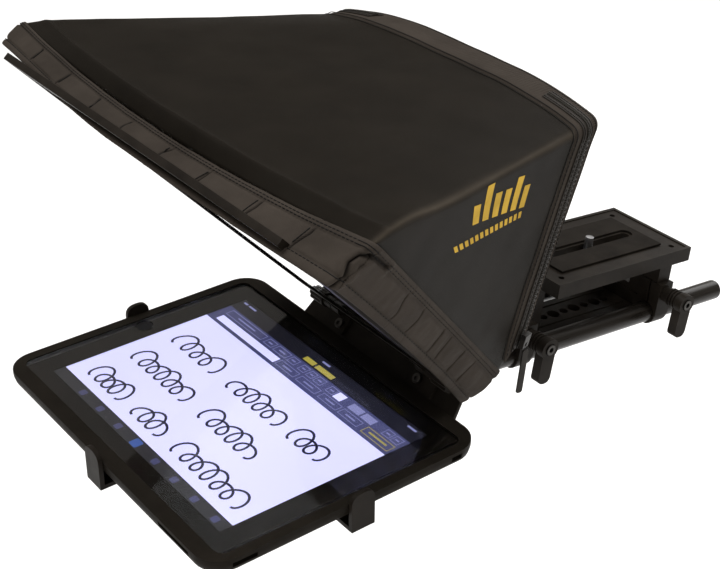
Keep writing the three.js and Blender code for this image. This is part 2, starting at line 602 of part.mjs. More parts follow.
// The zip runs straight up the seam between side panel and rear strip, just outside the cloth.
function buildZip(side, s) {
  const foot = vec(HOOD.zipBottom);
  const head = vec(HOOD.zipTop);
  const up = head.clone().sub(foot).normalize();
  const out = up.clone().cross(vec(HOOD.seamTop).sub(foot)).normalize();
  const back = up.clone().cross(out).normalize();
  const turn = new THREE.Matrix4().makeBasis(out, back, up).setPosition(foot);
  const mirror = new THREE.Matrix4().makeScale(s, 1, 1);
  const set = (geometry) => {
    geometry.applyMatrix4(turn).applyMatrix4(mirror);
    return s > 0 ? geometry : toGeometry(toSolid(turnedOut(geometry)));
  };
  const length = head.distanceTo(foot);
  place(object, `zip_${side}`, set(box(1.6, 3.2, -5, 5, 2, length - 6)), 'zip');
  const grip = cut(box(3.5, 6.7, -3.6, 3.6, 2, 12), box(5, 7, -1, 1, 3, 6));
  place(object, `zip_slider_${side}`, set(grip), 'steel');
  const pull = slab(roundedRect(2.4, 15.5, 1.6), 0, 1.1).rotateX(Math.PI / 2).rotateZ(Math.PI / 2);
  pull.translate(foot.x + 8.8, foot.y, foot.z - 14).applyMatrix4(mirror);
  place(object, `zip_pull_${side}`, s > 0 ? pull : toGeometry(toSolid(turnedOut(pull))), 'steel');
}

// Restores outward faces after a mirror.
function turnedOut(geometry) {
  const merged = mergeVertices(geometry, 1e-4);
  const index = merged.index.array;
  for (let i = 0; i < index.length; i += 3) [index[i], index[i + 1]] = [index[i + 1], index[i]];
  return merged;
}

// ---------- the whole ----------

const bracket = frameAt(BRACKET.origin, BRACKET.tilt);
const hingePoint = new THREE.Vector3(0, GLASS_HINGE.y, GLASS_HINGE.z);
hingePoint.applyAxisAngle(new THREE.Vector3(1, 0, 0), deg(BRACKET.tilt)).add(vec(BRACKET.origin));
const glass = frameAt(hingePoint.toArray(), 180 - GLASS.tilt);
const tray = frameAt(SCREEN, TRAY_TILT);

buildBase();
buildCameraMount();
buildRods(bracket);
buildHinges(bracket);
buildGlass(glass);
buildTablet(tray);
buildCradle(tray);
buildHood();

export default object;
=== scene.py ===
"""Looks of the teleprompter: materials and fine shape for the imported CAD, with sewn fabric made in code."""

import math

import bpy
from mathutils import Matrix, Vector, noise


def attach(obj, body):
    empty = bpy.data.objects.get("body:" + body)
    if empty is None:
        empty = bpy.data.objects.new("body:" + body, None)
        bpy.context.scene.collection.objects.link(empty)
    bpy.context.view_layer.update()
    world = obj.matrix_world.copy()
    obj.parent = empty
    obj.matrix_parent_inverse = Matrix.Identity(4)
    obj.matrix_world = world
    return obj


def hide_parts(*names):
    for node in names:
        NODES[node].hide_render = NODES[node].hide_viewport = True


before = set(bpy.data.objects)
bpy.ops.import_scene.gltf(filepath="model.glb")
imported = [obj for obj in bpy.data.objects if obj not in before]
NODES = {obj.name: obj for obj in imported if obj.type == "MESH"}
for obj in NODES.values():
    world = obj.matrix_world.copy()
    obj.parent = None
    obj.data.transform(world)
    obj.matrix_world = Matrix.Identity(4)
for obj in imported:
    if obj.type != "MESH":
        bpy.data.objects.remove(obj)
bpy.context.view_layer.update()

MM = 0.001
HOOD_BODY = "glass_and_hood"


# ---------- node helpers ----------


def link_in(tree, node, socket, value):
    """Sets a socket to a number, a colour or another node's output."""
    if isinstance(value, bpy.types.NodeSocket):
        tree.links.new(value, node.inputs[socket])
    elif value is not None:
        node.inputs[socket].default_value = value


def add(tree, kind, inputs=None, **settings):
    node = tree.nodes.new(kind)
    for name, value in settings.items():
        setattr(node, name, value)
    for socket, value in (inputs or {}).items():
        link_in(tree, node, socket, value)
    return node


def math_node(tree, operation, a, b=None):
    node = add(tree, "ShaderNodeMath", operation=operation)
    link_in(tree, node, 0, a)
    link_in(tree, node, 1, b)
    return node.outputs[0]


def noise_of(tree, vector, scale, detail=3.0, roughness=0.5):
    node = add(tree, "ShaderNodeTexNoise", {"Scale": scale, "Detail": detail, "Roughness": roughness})
    tree.links.new(vector, node.inputs["Vector"])
    return node.outputs["Fac"]


def between(tree, factor, low, high):
    """A number that runs from low to high as factor runs from 0 to 1."""
    node = add(tree, "ShaderNodeMapRange", {"To Min": low, "To Max": high})
    tree.links.new(factor, node.inputs["Value"])
    return node.outputs["Result"]


def two_tone(tree, factor, dark, light):
    """A colour that runs from dark to light as factor runs from 0.3 to 0.7."""
    ramp = add(tree, "ShaderNodeValToRGB")
    for element, position, colour in zip(ramp.color_ramp.elements, (0.3, 0.7), (dark, light)):
        element.position = position
        element.color = (*colour, 1)
    tree.links.new(factor, ramp.inputs["Fac"])
    return ramp.outputs["Color"]


def object_place(tree):
    return add(tree, "ShaderNodeTexCoord").outputs["Object"]


def bumped(tree, shader, height, strength, distance):
    node = add(tree, "ShaderNodeBump", {"Strength": strength, "Distance": distance, "Height": height})
    tree.links.new(node.outputs["Normal"], shader.inputs["Normal"])


def blank_material(name, inputs):
    """(material, its node tree, its shader) with the shader's inputs set."""
    made = bpy.data.materials.new(name)
    made.use_nodes = True
    tree = made.node_tree
    shader = tree.nodes["Principled BSDF"]
    for socket, value in inputs.items():
        link_in(tree, shader, socket, value)
    return made, tree, shader


def scaled(colour, factor):
    return tuple(c * factor for c in colour)


def vary_colour(tree, socket, factor, colour, dark, light):
    """Lets a colour run from dark to light times its value with factor."""
    tree.links.new(two_tone(tree, factor, scaled(colour, dark), scaled(colour, light)), socket)


def vary_roughness(tree, shader, factor, roughness, below, above):
    """Lets the roughness run from that far below its value to that far above it with factor."""
    tree.links.new(between(tree, factor, roughness - below, roughness + above), shader.inputs["Roughness"])


def hard_material(name, colour, roughness, metallic, grain, grain_depth, wear=1.5, specular=0.06):
    """Metal or plastic with a fine surface grain, handling marks and uneven gloss.
    grain is the grain's noise scale, grain_depth is in millimetres and wear is how pale the marks get."""
    made, tree, shader = blank_material(name, {"Metallic": metallic, "Specular IOR Level": specular})
    place = object_place(tree)
    marks = noise_of(tree, place, scale=45, detail=4, roughness=0.6)
    vary_colour(tree, shader.inputs["Base Color"], marks, colour, dark=0.8, light=wear)
    smears = noise_of(tree, place, scale=140, detail=2)
    vary_roughness(tree, shader, smears, roughness, below=0.08, above=0.1)
    bumped(tree, shader, noise_of(tree, place, grain, detail=2), strength=0.35, distance=grain_depth * MM)
    return made


def brushed_material(name, colour, roughness, metallic, stretch, specular=0.5):
    """Metal with fine parallel machining lines; stretch is the noise's scale along x, y and z."""
    made, tree, shader = blank_material(name, {"Metallic": metallic, "Specular IOR Level": specular})
    place = object_place(tree)
    mapping = add(tree, "ShaderNodeMapping", {"Scale": stretch})
    tree.links.new(place, mapping.inputs["Vector"])
    lines = noise_of(tree, mapping.outputs["Vector"], scale=1.0, detail=3)
    vary_colour(tree, shader.inputs["Base Color"], lines, colour, dark=0.75, light=1.5)
    vary_roughness(tree, shader, lines, roughness, below=0.08, above=0.12)
    bumped(tree, shader, lines, strength=0.25, distance=0.05 * MM)
    return made


PAINTED_CREASE_SHADE = 0.12  # painted shade: a colour's share that is left at the bottom of a crease
PAINTED_HIGHLIGHT_GAIN = 4.0  # painted highlight: how many times paler the cloth is along the fold between side and top


def woven_material(name, colour, pitch, depth, roughness=0.6, specular=0.15):
    """Cloth with a weave of that pitch in millimetres along its UVs, which are in metres of cloth.
    A mesh's "fold" attribute darkens it as painted shade in the creases, and a second attribute paints a
    highlight along the hood's fold, making the cloth paler there."""
    made, tree, shader = blank_material(name, {"Specular IOR Level": specular})
    coordinates = add(tree, "ShaderNodeTexCoord")
    split = add(tree, "ShaderNodeSeparateXYZ")
    tree.links.new(coordinates.outputs["UV"], split.inputs[0])
    turns = 2 * math.pi / (pitch * MM)
    warp = math_node(tree, "SINE", math_node(tree, "MULTIPLY", split.outputs["X"], turns))
    weft = math_node(tree, "SINE", math_node(tree, "MULTIPLY", split.outputs["Y"], turns))
    weave = math_node(tree, "MULTIPLY", warp, weft)
    slub = noise_of(tree, coordinates.outputs["UV"], scale=900, detail=2)
    rub = noise_of(tree, coordinates.outputs["Object"], scale=26, detail=5, roughness=0.62)
    # painted shade in the band's creases and along its tucked flap: the "fold" attribute darkens the colour
    # there
    fold = add(tree, "ShaderNodeAttribute", attribute_name="fold").outputs["Fac"]
    # painted highlight: this attribute makes the cloth paler along the fold between the hood's side and top
    painted_highlight = add(tree, "ShaderNodeAttribute", attribute_name="painted_highlight").outputs["Fac"]
    in_painted_crease_shade = between(tree, fold, 1.0, PAINTED_CREASE_SHADE)
    on_painted_highlight = between(tree, painted_highlight, 1.0, PAINTED_HIGHLIGHT_GAIN)
    shaded = add(tree, "ShaderNodeVectorMath", operation="SCALE")
    vary_colour(tree, shaded.inputs[0], rub, colour, dark=0.86, light=1.22)
    tree.links.new(math_node(tree, "MULTIPLY", in_painted_crease_shade, on_painted_highlight), shaded.inputs["Scale"])
    tree.links.new(shaded.outputs["Vector"], shader.inputs["Base Color"])
    vary_roughness(tree, shader, weave, roughness, below=0.05, above=0.1)
    bumped(tree, shader, math_node(tree, "ADD", weave, slub), strength=0.4, distance=depth * MM)
    return made


def glass_material(name, colour, roughness, metallic, ior):
    """Clear glass with very faint waviness."""
    made, tree, shader = blank_material(name, {
        "Base Color": (*colour, 1),
        "Metallic": metallic,
        "Transmission Weight": 1.0,
        "Specular IOR Level": 0.08,
        "IOR": ior,
    })
    place = object_place(tree)
    film = noise_of(tree, place, scale=12, detail=3)
    vary_roughness(tree, shader, film, roughness, below=0, above=0.03)
    bumped(tree, shader, noise_of(tree, place, scale=9, detail=1), strength=0.05, distance=0.02 * MM)
    return made


def lit_material(name, colour, spread=0.06, strength=1.0):
    """A lit part of the screen, a little uneven as a backlight is."""
    made, tree, shader = blank_material(name, {
        "Emission Strength": strength,
        "Base Color": (0.01, 0.01, 0.01, 1),
        "Roughness": 0.5,
    })
    place = object_place(tree)
    drift = noise_of(tree, place, scale=7, detail=1)
    vary_colour(tree, shader.inputs["Emission Color"], drift, colour, dark=1 - spread, light=1 + spread)
    return made


BLACK = (0.0110, 0.0088, 0.0068)
FINE_GRAIN = (300, 300, 300)

FINISH = {
    "anodised": hard_material("anodised_black", BLACK, 0.4, 0.0, 2600, 0.03),
    "rod": brushed_material("rod_black", (0.0105, 0.0086, 0.0068), 0.28, 0.1, (900, 25, 900), 0.22),
    "moulded": hard_material("moulded_plastic", BLACK, 0.45, 0.0, 1500, 0.04),
    "button": hard_material("button_plastic", (0.012, 0.012, 0.013), 0.35, 0.0, 1200, 0.02),
    "case": hard_material("case_rubber", (0.0112, 0.0092, 0.0070), 0.5, 0.0, 1900, 0.05, 1.25, 0.03),
    "pad": hard_material("pad_rubber", (0.0095, 0.0078, 0.0062), 0.8, 0.0, 700, 0.1),
    "steel": brushed_material("steel", (0.36, 0.36, 0.37), 0.3, 1.0, FINE_GRAIN),
    "dark_steel": brushed_material("dark_steel", (0.04, 0.037, 0.034), 0.35, 0.9, FINE_GRAIN),
    "zip_metal": hard_material("zip_metal", (0.014, 0.0125, 0.011), 0.38, 0.2, 1500, 0.02, 2.5),
    "tablet_shell": hard_material("tablet_shell", (0.32, 0.32, 0.33), 0.35, 0.9, 2500, 0.02, 1.1),
    "cover_glass": glass_material("cover_glass", (0.98, 0.98, 0.98), 0.015, 0.0, 1.25),
    "mirror_glass": glass_material("mirror_glass", (0.86, 0.88, 0.9), 0.01, 0.3, 1.5),
    "screen": lit_material("screen_panel", (0.02, 0.02, 0.03), strength=0.4),
    "nylon": woven_material("nylon_weave", (0.0098, 0.0080, 0.0060), 0.62, 0.10, 0.5, 0.025),
    "webbing": woven_material("webbing_weave", (0.0370, 0.0305, 0.0252), 1.1, 0.2, 0.75, 0.03),
    "zip_tape": woven_material("zip_tape_weave", (0.0210, 0.0175, 0.0145), 0.8, 0.12),
}
THREAD = hard_material("black_thread", (0.010, 0.0095, 0.009), 0.7, 0.0, 2600, 0.05)
COIL = hard_material("zip_coil", (0.02, 0.018, 0.015), 0.35, 0.0, 2600, 0.02)
BEZEL = hard_material("bezel_black", (0.006, 0.005, 0.004), 0.4, 0.0, 1200, 0.01)
PRINT = hard_material("yellow_print", (0.52, 0.33, 0.045), 0.75, 0.0, 1500, 0.02, 1.15)


# ---------- kept CAD nodes ----------


SMOOTH_LIMIT = 35  # edges sharper than this many degrees stay sharp
BEVEL_LIMIT = 34  # edges sharper than this many degrees are rounded
WELD_GAP = 0.01


def smoothing_group(limit):
    """A node group that shades faces smooth and keeps edges sharper than limit, in degrees, sharp."""
    tree = bpy.data.node_groups.new("smooth_by_angle", "GeometryNodeTree")
    tree.interface.new_socket("Geometry", in_out="INPUT", socket_type="NodeSocketGeometry")
    tree.interface.new_socket("Geometry", in_out="OUTPUT", socket_type="NodeSocketGeometry")
    start = tree.nodes.new("NodeGroupInput")
    end = tree.nodes.new("NodeGroupOutput")
    faces = add(tree, "GeometryNodeSetShadeSmooth", domain="FACE")
    edges = add(tree, "GeometryNodeSetShadeSmooth", domain="EDGE")
    angle = tree.nodes.new("GeometryNodeInputMeshEdgeAngle")
    sharp = add(tree, "FunctionNodeCompare", data_type="FLOAT", operation="GREATER_THAN")
    tree.links.new(angle.outputs["Unsigned Angle"], sharp.inputs[0])
    sharp.inputs[1].default_value = math.radians(limit)
    tree.links.new(start.outputs[0], faces.inputs["Geometry"])
    tree.links.new(faces.outputs[0], edges.inputs["Geometry"])
    tree.links.new(sharp.outputs["Result"], edges.inputs["Selection"])
    edges.inputs["Shade Smooth"].default_value = False
    tree.links.new(edges.outputs[0], end.inputs[0])
    return tree


SMOOTH = smoothing_group(SMOOTH_LIMIT)


def refine(node, finish, bevel):
    """Soft edges, smooth curved faces and a real finish on a CAD node. The bevel is in millimetres."""
    piece = NODES[node]
    weld = piece.modifiers.new("weld", "WELD")
    weld.merge_threshold = WELD_GAP * MM
    if bevel:
        rounding = piece.modifiers.new("rounding", "BEVEL")
        rounding.width = bevel * MM
        rounding.segments = 2
        rounding.limit_method = "ANGLE"
        rounding.angle_limit = math.radians(BEVEL_LIMIT)
        rounding.miter_outer = "MITER_ARC"
    smooth = piece.modifiers.new("smooth", "NODES")
    smooth.node_group = SMOOTH
    flat_faces = piece.modifiers.new("flat_faces", "WEIGHTED_NORMAL")
    flat_faces.keep_sharp = True
    piece.data.materials.clear()
    piece.data.materials.append(FINISH[finish])


# finish: {bevel: nodes}
KEPT = {
    "anodised": {
        0.5: [
            "base_plate", "front_clamp", "rear_clamp", "front_riser", "rear_riser", "camera_plate",
            "frame_bottom", "frame_top", "frame_left", "frame_right", "bracket_plate", "cradle_plate",
        ],
        0.35: [
            "rod_socket_left", "rod_socket_right", "glass_hinge_left", "glass_hinge_right", "tray_hinge",
            "clip_left", "clip_right", "clip_front",
        ],
    },
    "rod": {0.8: ["rod_left", "rod_right"]},
    "moulded": {
        0.45: [
            "front_lever", "rear_lever", "glass_knob_left", "glass_knob_right", "tray_knob",
            "clip_knob_left", "clip_knob_right", "clip_knob_front",
        ],
    },
    "button": {0.3: ["home_button", "volume_rocker", "power_button"]},
    "case": {0.9: ["tablet_case"]},
    "pad": {0.3: ["camera_pad"]},
    "steel": {0.25: ["camera_washer", "camera_screw"]},
    "dark_steel": {
        0.25: ["front_lever_screw", "rear_lever_screw", "glass_hinge_bolt_left", "glass_hinge_bolt_right"],
    },
    "zip_metal": {0.25: ["zip_slider_left", "zip_slider_right", "zip_pull_left", "zip_pull_right"]},
    "tablet_shell": {0.5: ["tablet_body"]},
    "cover_glass": {0: ["tablet_glass"]},
    "mirror_glass": {0: ["beam_splitter"]},
    "screen": {0: ["display_panel"]},
}
for finish, groups in KEPT.items():
    for bevel, names in groups.items():
        for name in names:
            refine(name, finish, bevel)


# ---------- meshes of the scene's own ----------


def lerp(a, b, t):
    return a + (b - a) * t


def smoothstep(t):
    t = min(1.0, max(0.0, t))
    return t * t * (3 - 2 * t)


def bell(distance, width):
    """1 at no distance, falling away smoothly over width."""
    return math.exp(-((distance / width) ** 2))


def window(t, low, high, blend):
    """1 for t from low to high and 0 outside, with soft ends of length blend inside them."""
    return smoothstep((t - low) / blend) * smoothstep((high - t) / blend)


def mesh_of(name, points, faces):
    mesh = bpy.data.meshes.new(name)
    mesh.from_pydata(points, [], faces)
    return mesh


def finish_object(name, mesh, body, material, replaced=(), smooth=True):
    """Puts a mesh in the scene on a body and the CAD nodes that it replaces."""
    piece = bpy.data.objects.new(name, mesh)
    bpy.context.scene.collection.objects.link(piece)
    mesh.materials.append(material)
    for polygon in mesh.polygons:
        polygon.use_smooth = smooth
    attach(piece, body)
    if replaced:
        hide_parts(*replaced)
    return piece


def grid(name, at, nu, nv, size, finish, thickness, replaced=(), close_u=False, flip=False):
    """A sheet on the hood: at(u, v) gives its outer face in millimetres for u and v from 0 to 1.
    size is its flat (width, length) in millimetres, which sets the UVs."""
    columns = nu if close_u else nu + 1
    points = [Vector(at(i / nu, j / nv)) * MM for j in range(nv + 1) for i in range(columns)]
    faces = []
    corners = []
    for j in range(nv):
        for i in range(nu):
            right = (i + 1) % columns
            face = [j * columns + i, j * columns + right, (j + 1) * columns + right, (j + 1) * columns + i]
            uv = [(i, j), (i + 1, j), (i + 1, j + 1), (i, j + 1)]
            faces.append(face[::-1] if flip else face)
            corners.append(uv[::-1] if flip else uv)
    mesh = mesh_of(name, points, faces)
    layer = mesh.uv_layers.new(name="cloth")
    flat = [corner for face in corners for corner in face]
    for loop, (i, j) in zip(layer.data, flat):
        loop.uv = (i / nu * size[0] * MM, j / nv * size[1] * MM)
    piece = finish_object(name, mesh, HOOD_BODY, FINISH[finish], replaced)
    solid = piece.modifiers.new("thickness", "SOLIDIFY")
    solid.thickness = thickness * MM
    solid.offset = -1
    solid.use_even_offset = False
    return piece


def store(piece, name, columns, rows, value_at):
    """Keeps value_at(a, share of the rows) at every vertex of a grid over a, which runs from -1 to 1."""
    layer = piece.data.attributes.new(name, "FLOAT", "POINT")
    for k, item in enumerate(layer.data):
        row, column = divmod(k, columns + 1)
        item.value = value_at(2 * column / columns - 1, row / rows)


BEAD_RINGS = ((-0.5, 0.35), (-0.3, 1.0), (0.3, 1.0), (0.5, 0.35))  # (share of length, of thickness)
BEAD_SIDES = 6


def beads(name, frames, size, material):
    """Small rounded grains on the hood, one at each (centre, along, up); size is (length, width, height)."""
    length, width, height = size
    points = []
    faces = []
    for centre, along, up in frames:
        along = along.normalized()
        across = up.cross(along).normalized()
        up = along.cross(across)
        first = len(points)
        for end, scale in BEAD_RINGS:
            for k in range(BEAD_SIDES):
                turn = 2 * math.pi * k / BEAD_SIDES
                sideways = across * (math.cos(turn) * width / 2 * scale)
                rise = up * (math.sin(turn) * height * scale)
                points.append((centre + along * (end * length) + sideways + rise) * MM)
        for ring in range(len(BEAD_RINGS) - 1):
            low = first + ring * BEAD_SIDES
            high = low + BEAD_SIDES
            for k in range(BEAD_SIDES):
                nxt = (k + 1) % BEAD_SIDES
                faces.append((low + k, low + nxt, high + nxt, high + k))
        faces.append([first + k for k in reversed(range(BEAD_SIDES))])
        faces.append([high + k for k in range(BEAD_SIDES)])
    return finish_object(name, mesh_of(name, points, faces), HOOD_BODY, material)


def line_of_stitches(at, count):
    """(centre, along, up) for a row of stitches; at(t) gives (point, normal) for t from 0 to 1."""
    frames = []
    for k in range(count):
        here, up = at((k + 0.5) / count)
        ahead, _ = at((k + 0.6) / count)
        frames.append((here, ahead - here, up))
    return frames


# ---------- the hood's shape, in millimetres ----------

# The lower end and the upper corner of the right side, at the band's seam, the zip's line, the hood's rear
# edge and the band's free edge
SEAM_LOW = Vector((90, -135, 50.5))
SEAM_HIGH = Vector((180, -325, 218))
ZIP_LOW = Vector((91.2, -126.2, 67))
ZIP_HIGH = Vector((117, -122, 220.8))
REAR_LOW = Vector((88, -115, 70))
REAR_HIGH = Vector((113, -109, 221))
EDGE_LOW = Vector((84.5, -160, 31.5))
EDGE_HIGH = Vector((180, -340.5, 205))

# The hood is a surface over a and v. a runs from -1 at the left lower end, over the top, to 1 at the right
# one, and q = 1 - |a|. v runs from 0 at the band's seam to 1 at the zip's line and on to the rear edge.
REAR_V = 1.2
FOLD_RADIUS = 7.0  # of the rounded fold between side and top
CORNER = 0.5  # q at the corner between side and top
SIDE_END = 0.46  # q where the side turns into the fold
TOP_START = 0.54  # q where the fold turns into the top
SEAM_SAG = (7, 9)  # how far the band's seam is forwards and down in the middle of the top
CROWN = 10.0  # rise of the top in its middle
CROWN_ROUND = 3  # the higher, the flatter the crown across the top
CROWN_ALONG = 1.1  # how the crown grows with v
RIDGE_Y = (-313, -326)  # y of the ridge behind the band, at the corner and in the middle
RIDGE_Z = 219.0
RIDGE_RISE = 1.35  # how quickly the top climbs to the ridge
RIDGE_BUMP = (0.9, 0.012)  # height of the line of cloth along the ridge, and its width in v
FOLD_BULGE = {"right": 3.6, "left": 1.2}  # how far the fold stands up just behind the band
FOLD_SPREAD = 0.055  # the bulge's width in q
BULGE_V = (0.13, 0.11)  # the bulge's middle and width in v
BULGE_OUT = 0.15  # the share of the bulge that goes sideways
SIDE_HOLLOW = 2.2  # how far the side is drawn in
TUCK = Vector((0, 0.62, 0.78))  # away from the glass
SEAM_TUCK = 3.0  # the left lower end of the cloth is drawn up this far at the band's seam
EDGE_TUCK = 9.0  # and this far at its free edge
CLOTH_WAVES = ((1.1, 0.013, (3.1, 0.4, 7.7)), (0.35, 0.045, (9.2, 5.5, 1.3)))  # (height, scale, place)
WAVE_ROOM = 0.9  # the face is set in this far, so that the waves don't stand out of the hood


def side_lines(v, left=False):
    """The side's lower point and its upper corner at v."""
    if v <= 1:
        low = SEAM_LOW + TUCK * SEAM_TUCK if left else SEAM_LOW
        return lerp(low, ZIP_LOW, v), lerp(SEAM_HIGH, ZIP_HIGH, v)
    t = (v - 1) / (REAR_V - 1)
    return lerp(ZIP_LOW, REAR_LOW, t), lerp(ZIP_HIGH, REAR_HIGH, t)


def top_point(x, v, corner):
    """The top panel over x at v, where corner is the panel's corner at v."""
    k = x / corner.x
    dip = 1 - k * k
    reach = min(v, 1.0)
    y_front = SEAM_HIGH.y - SEAM_SAG[0] * dip
    y_rear = ZIP_HIGH.y if v <= 1 else corner.y
    y = lerp(y_front, y_rear, reach)
    ridge_v = (lerp(RIDGE_Y[1], RIDGE_Y[0], k * k) - y_front) / (ZIP_HIGH.y - y_front)
    t = min(1.0, v / ridge_v)
    along = 1 - (1 - t) ** RIDGE_RISE
    rise = CROWN * (1 - abs(k) ** CROWN_ROUND) * reach ** CROWN_ALONG
    behind = lerp(RIDGE_Z, corner.z if v > 1 else ZIP_HIGH.z, reach) + rise
    front = SEAM_HIGH.z - SEAM_SAG[1] * dip
    z = lerp(front, behind, along) + RIDGE_BUMP[0] * bell(v - ridge_v, RIDGE_BUMP[1])
    return Vector((x, y, z))


def folded(q, low, corner, top_at):
    """A point on a line that climbs from low to corner, turns a rounded fold and crosses the top."""
    side = (low - corner).normalized()
    before = corner + side * FOLD_RADIUS
    after = top_at(corner.x - FOLD_RADIUS)
    if q < SIDE_END:
        return lerp(low, before, q / SIDE_END)
    if q > TOP_START:
        return top_at(lerp(corner.x - FOLD_RADIUS, 0.0, (q - TOP_START) / (1 - TOP_START)))
    t = (q - SIDE_END) / (TOP_START - SIDE_END)
    return lerp(lerp(before, corner, t), lerp(corner, after, t), t)


def q_over_top(x, half):
    """q at x on the top, where half is the top's half width without its folds."""
    return TOP_START + (1 - TOP_START) * (1 - abs(x) / half)


def hood_base(a, v):
    """The hood's smooth outer face."""
    q = 1 - abs(a)
    low, corner = side_lines(v, a < 0)
    point = folded(q, low, corner, lambda x: top_point(x, v, corner))
    near_fold = bell(q - CORNER, FOLD_SPREAD)
    swell = bell(v - BULGE_V[0], BULGE_V[1])
    bulge = FOLD_BULGE["right" if a > 0 else "left"]
    point.z += bulge * near_fold * swell
    point.x += BULGE_OUT * bulge * near_fold * swell
    if q < SIDE_END:
        s = q / SIDE_END
        point.x -= SIDE_HOLLOW * math.sin(math.pi * s) * math.sin(math.pi * min(1, v)) * s
    if a < 0:
        point.x = -point.x
    return point


def surface_frame(base, a, v):
    """(point, normal, direction of rising v) on a surface over a and v."""
    step = 0.002
    along = base(min(1, a + step), v) - base(max(-1, a - step), v)
    low = max(0.0, v - step)
    across = base(a, v + step) - base(a, low)
    normal = along.cross(across).normalized()
    return base(a, v), normal, across.normalized()


def across(base, face_at, v_of, lift, reach, outwards=1):
    """A line for line_of_stitches over a face, at v_of(a) for a from -reach to reach."""

    def at(t):
        a = lerp(-reach, reach, t)
        v = v_of(a)
        _, normal, _ = surface_frame(base, a, v)
        return face_at(a, v, lift), normal * outwards

    return at


def creasing(point):
    """How far the cloth's soft waves lift it at a point."""
    return sum(height * noise.noise(point * scale + Vector(place)) for height, scale, place in CLOTH_WAVES)


def hood_at(a, v, lift=0.0):
    """The hood's outer face with its waves, raised by lift."""
    point, normal, _ = surface_frame(hood_base, a, v)
    return point + normal * (lift + creasing(point) - WAVE_ROOM)


def hood_depth(a):
    """The length of cloth from the seam to the zip's line."""
    return (hood_base(a, 1.0) - hood_base(a, 0.0)).length


# ---------- the hood ----------

SHELL_COLUMNS = 300
SHELL_ROWS = 84
SHELL_EASE = 0.35  # the rows' spacing at the seam, as a share of their mean spacing
HOOD_GIRTH = 860  # length of cloth from one lower end over the top to the other
PAINTED_HIGHLIGHT_WIDTH = 0.022  # half width in q of the painted highlight along the fold
HEM_FRONT = 13.0  # the hem strip starts this far in front of the zip's line
HEM_RIBS = 210
HEM_RIB_HEIGHT = 0.22
HEM_FRONT_RISE = 0.07  # share of the strip over which its front edge rises
HEM_REAR_RISE = 0.05
HEM_REAR_START = 0.3  # how much of the rise the rear edge itself has
HEM_RIBBED = (0.12, 0.95, 0.1)  # the ribs run between these shares of the strip, and fade over the last
HEM_STITCH = (2.5, 0.5, 0.28)  # length, width and height
HEM_STITCHES = 230
HEM_TOP = 1.15  # a stitch's height over the hood's face on the hem strip
CLOTH_TOP = 0.15  # and beside it


def shell_at(u, w):
    return hood_at(2 * u - 1, REAR_V * w * (SHELL_EASE + (1 - SHELL_EASE) * w))


shell = grid(
    "hood_shell", shell_at, SHELL_COLUMNS, SHELL_ROWS, (HOOD_GIRTH, 215), "nylon", 1.2,
    ("hood_top", "hood_side_left", "hood_side_right"),
)
# painted highlight along the fold between the hood's side and top
store(shell, "painted_highlight", SHELL_COLUMNS, SHELL_ROWS, lambda a, w: bell(CORNER - abs(a), PAINTED_HIGHLIGHT_WIDTH))


def v_before_zip(a, distance):
    """v at a distance in front of the zip's line."""
    return 1 - distance / hood_depth(a)


def v_behind_zip(a, distance):
    """v at a distance behind the zip's line."""
    whole = (hood_base(a, REAR_V) - hood_base(a, 1.0)).length
    return 1 + distance / whole * (REAR_V - 1)


def hem_at(u, w):
    """The doubled strip from its front fold to the hood's rear edge, ribbed by its zigzag seam."""
    a = 2 * u - 1
    v = lerp(v_before_zip(a, HEM_FRONT), REAR_V, w)
    edge = min(1.0, w / HEM_FRONT_RISE, (1 - w) / HEM_REAR_RISE + HEM_REAR_START)
    rib = HEM_RIB_HEIGHT * math.sin(u * 2 * math.pi * HEM_RIBS) * window(w, *HEM_RIBBED)
    return hood_at(a, v, math.sqrt(max(0.0, edge)) + rib)


hem = grid("rear_hem", hem_at, 1060, 12, (HOOD_GIRTH, 27), "webbing", 0.8)


rows = []
for v_of, lift in (
    (lambda a: v_before_zip(a, HEM_FRONT - 1.6), HEM_TOP),
    (lambda a: v_before_zip(a, HEM_FRONT + 1.8), CLOTH_TOP),
    (lambda a: v_behind_zip(a, 10.4), HEM_TOP),
):
    rows += line_of_stitches(across(hood_base, hood_at, v_of, lift, 0.99), HEM_STITCHES)
hem_stitches = beads("hem_stitches", rows, HEM_STITCH, THREAD)


# ---------- the stitched band round the mouth ----------

# b runs across the band, from 0 at the seam to 1 at the free edge.
BAND_COLUMNS = 1800
BAND_ROWS = 34
BAND_WIDTH = 24.0  # its mean width, for the flap and the weave
SIDE_LENGTH = 268.0
TOP_HALF = 173.0
EDGE_SAG = (3, 2)  # how far the free edge is forwards and down in the middle of the top
HANG = Vector((0, -11.5, -3))  # how far the free edge hangs over the glass at its right upper corner
HANG_MIDDLE = 0.82  # the share of HANG in the middle of the top
HANG_FADE = (0.5, 0.45)  # the q where the hang begins on the left, and the q it takes to grow
SIDE_BELLY = 1.2  # how far the band stands out between its edges, on the side
TOP_BELLY = 0.9
FOOT_BELLY = 2.2  # and how much further at the lower end
FOOT_FORWARD = 1.5
FOOT_LENGTH = 0.05  # length in q of the lower end's fuller part

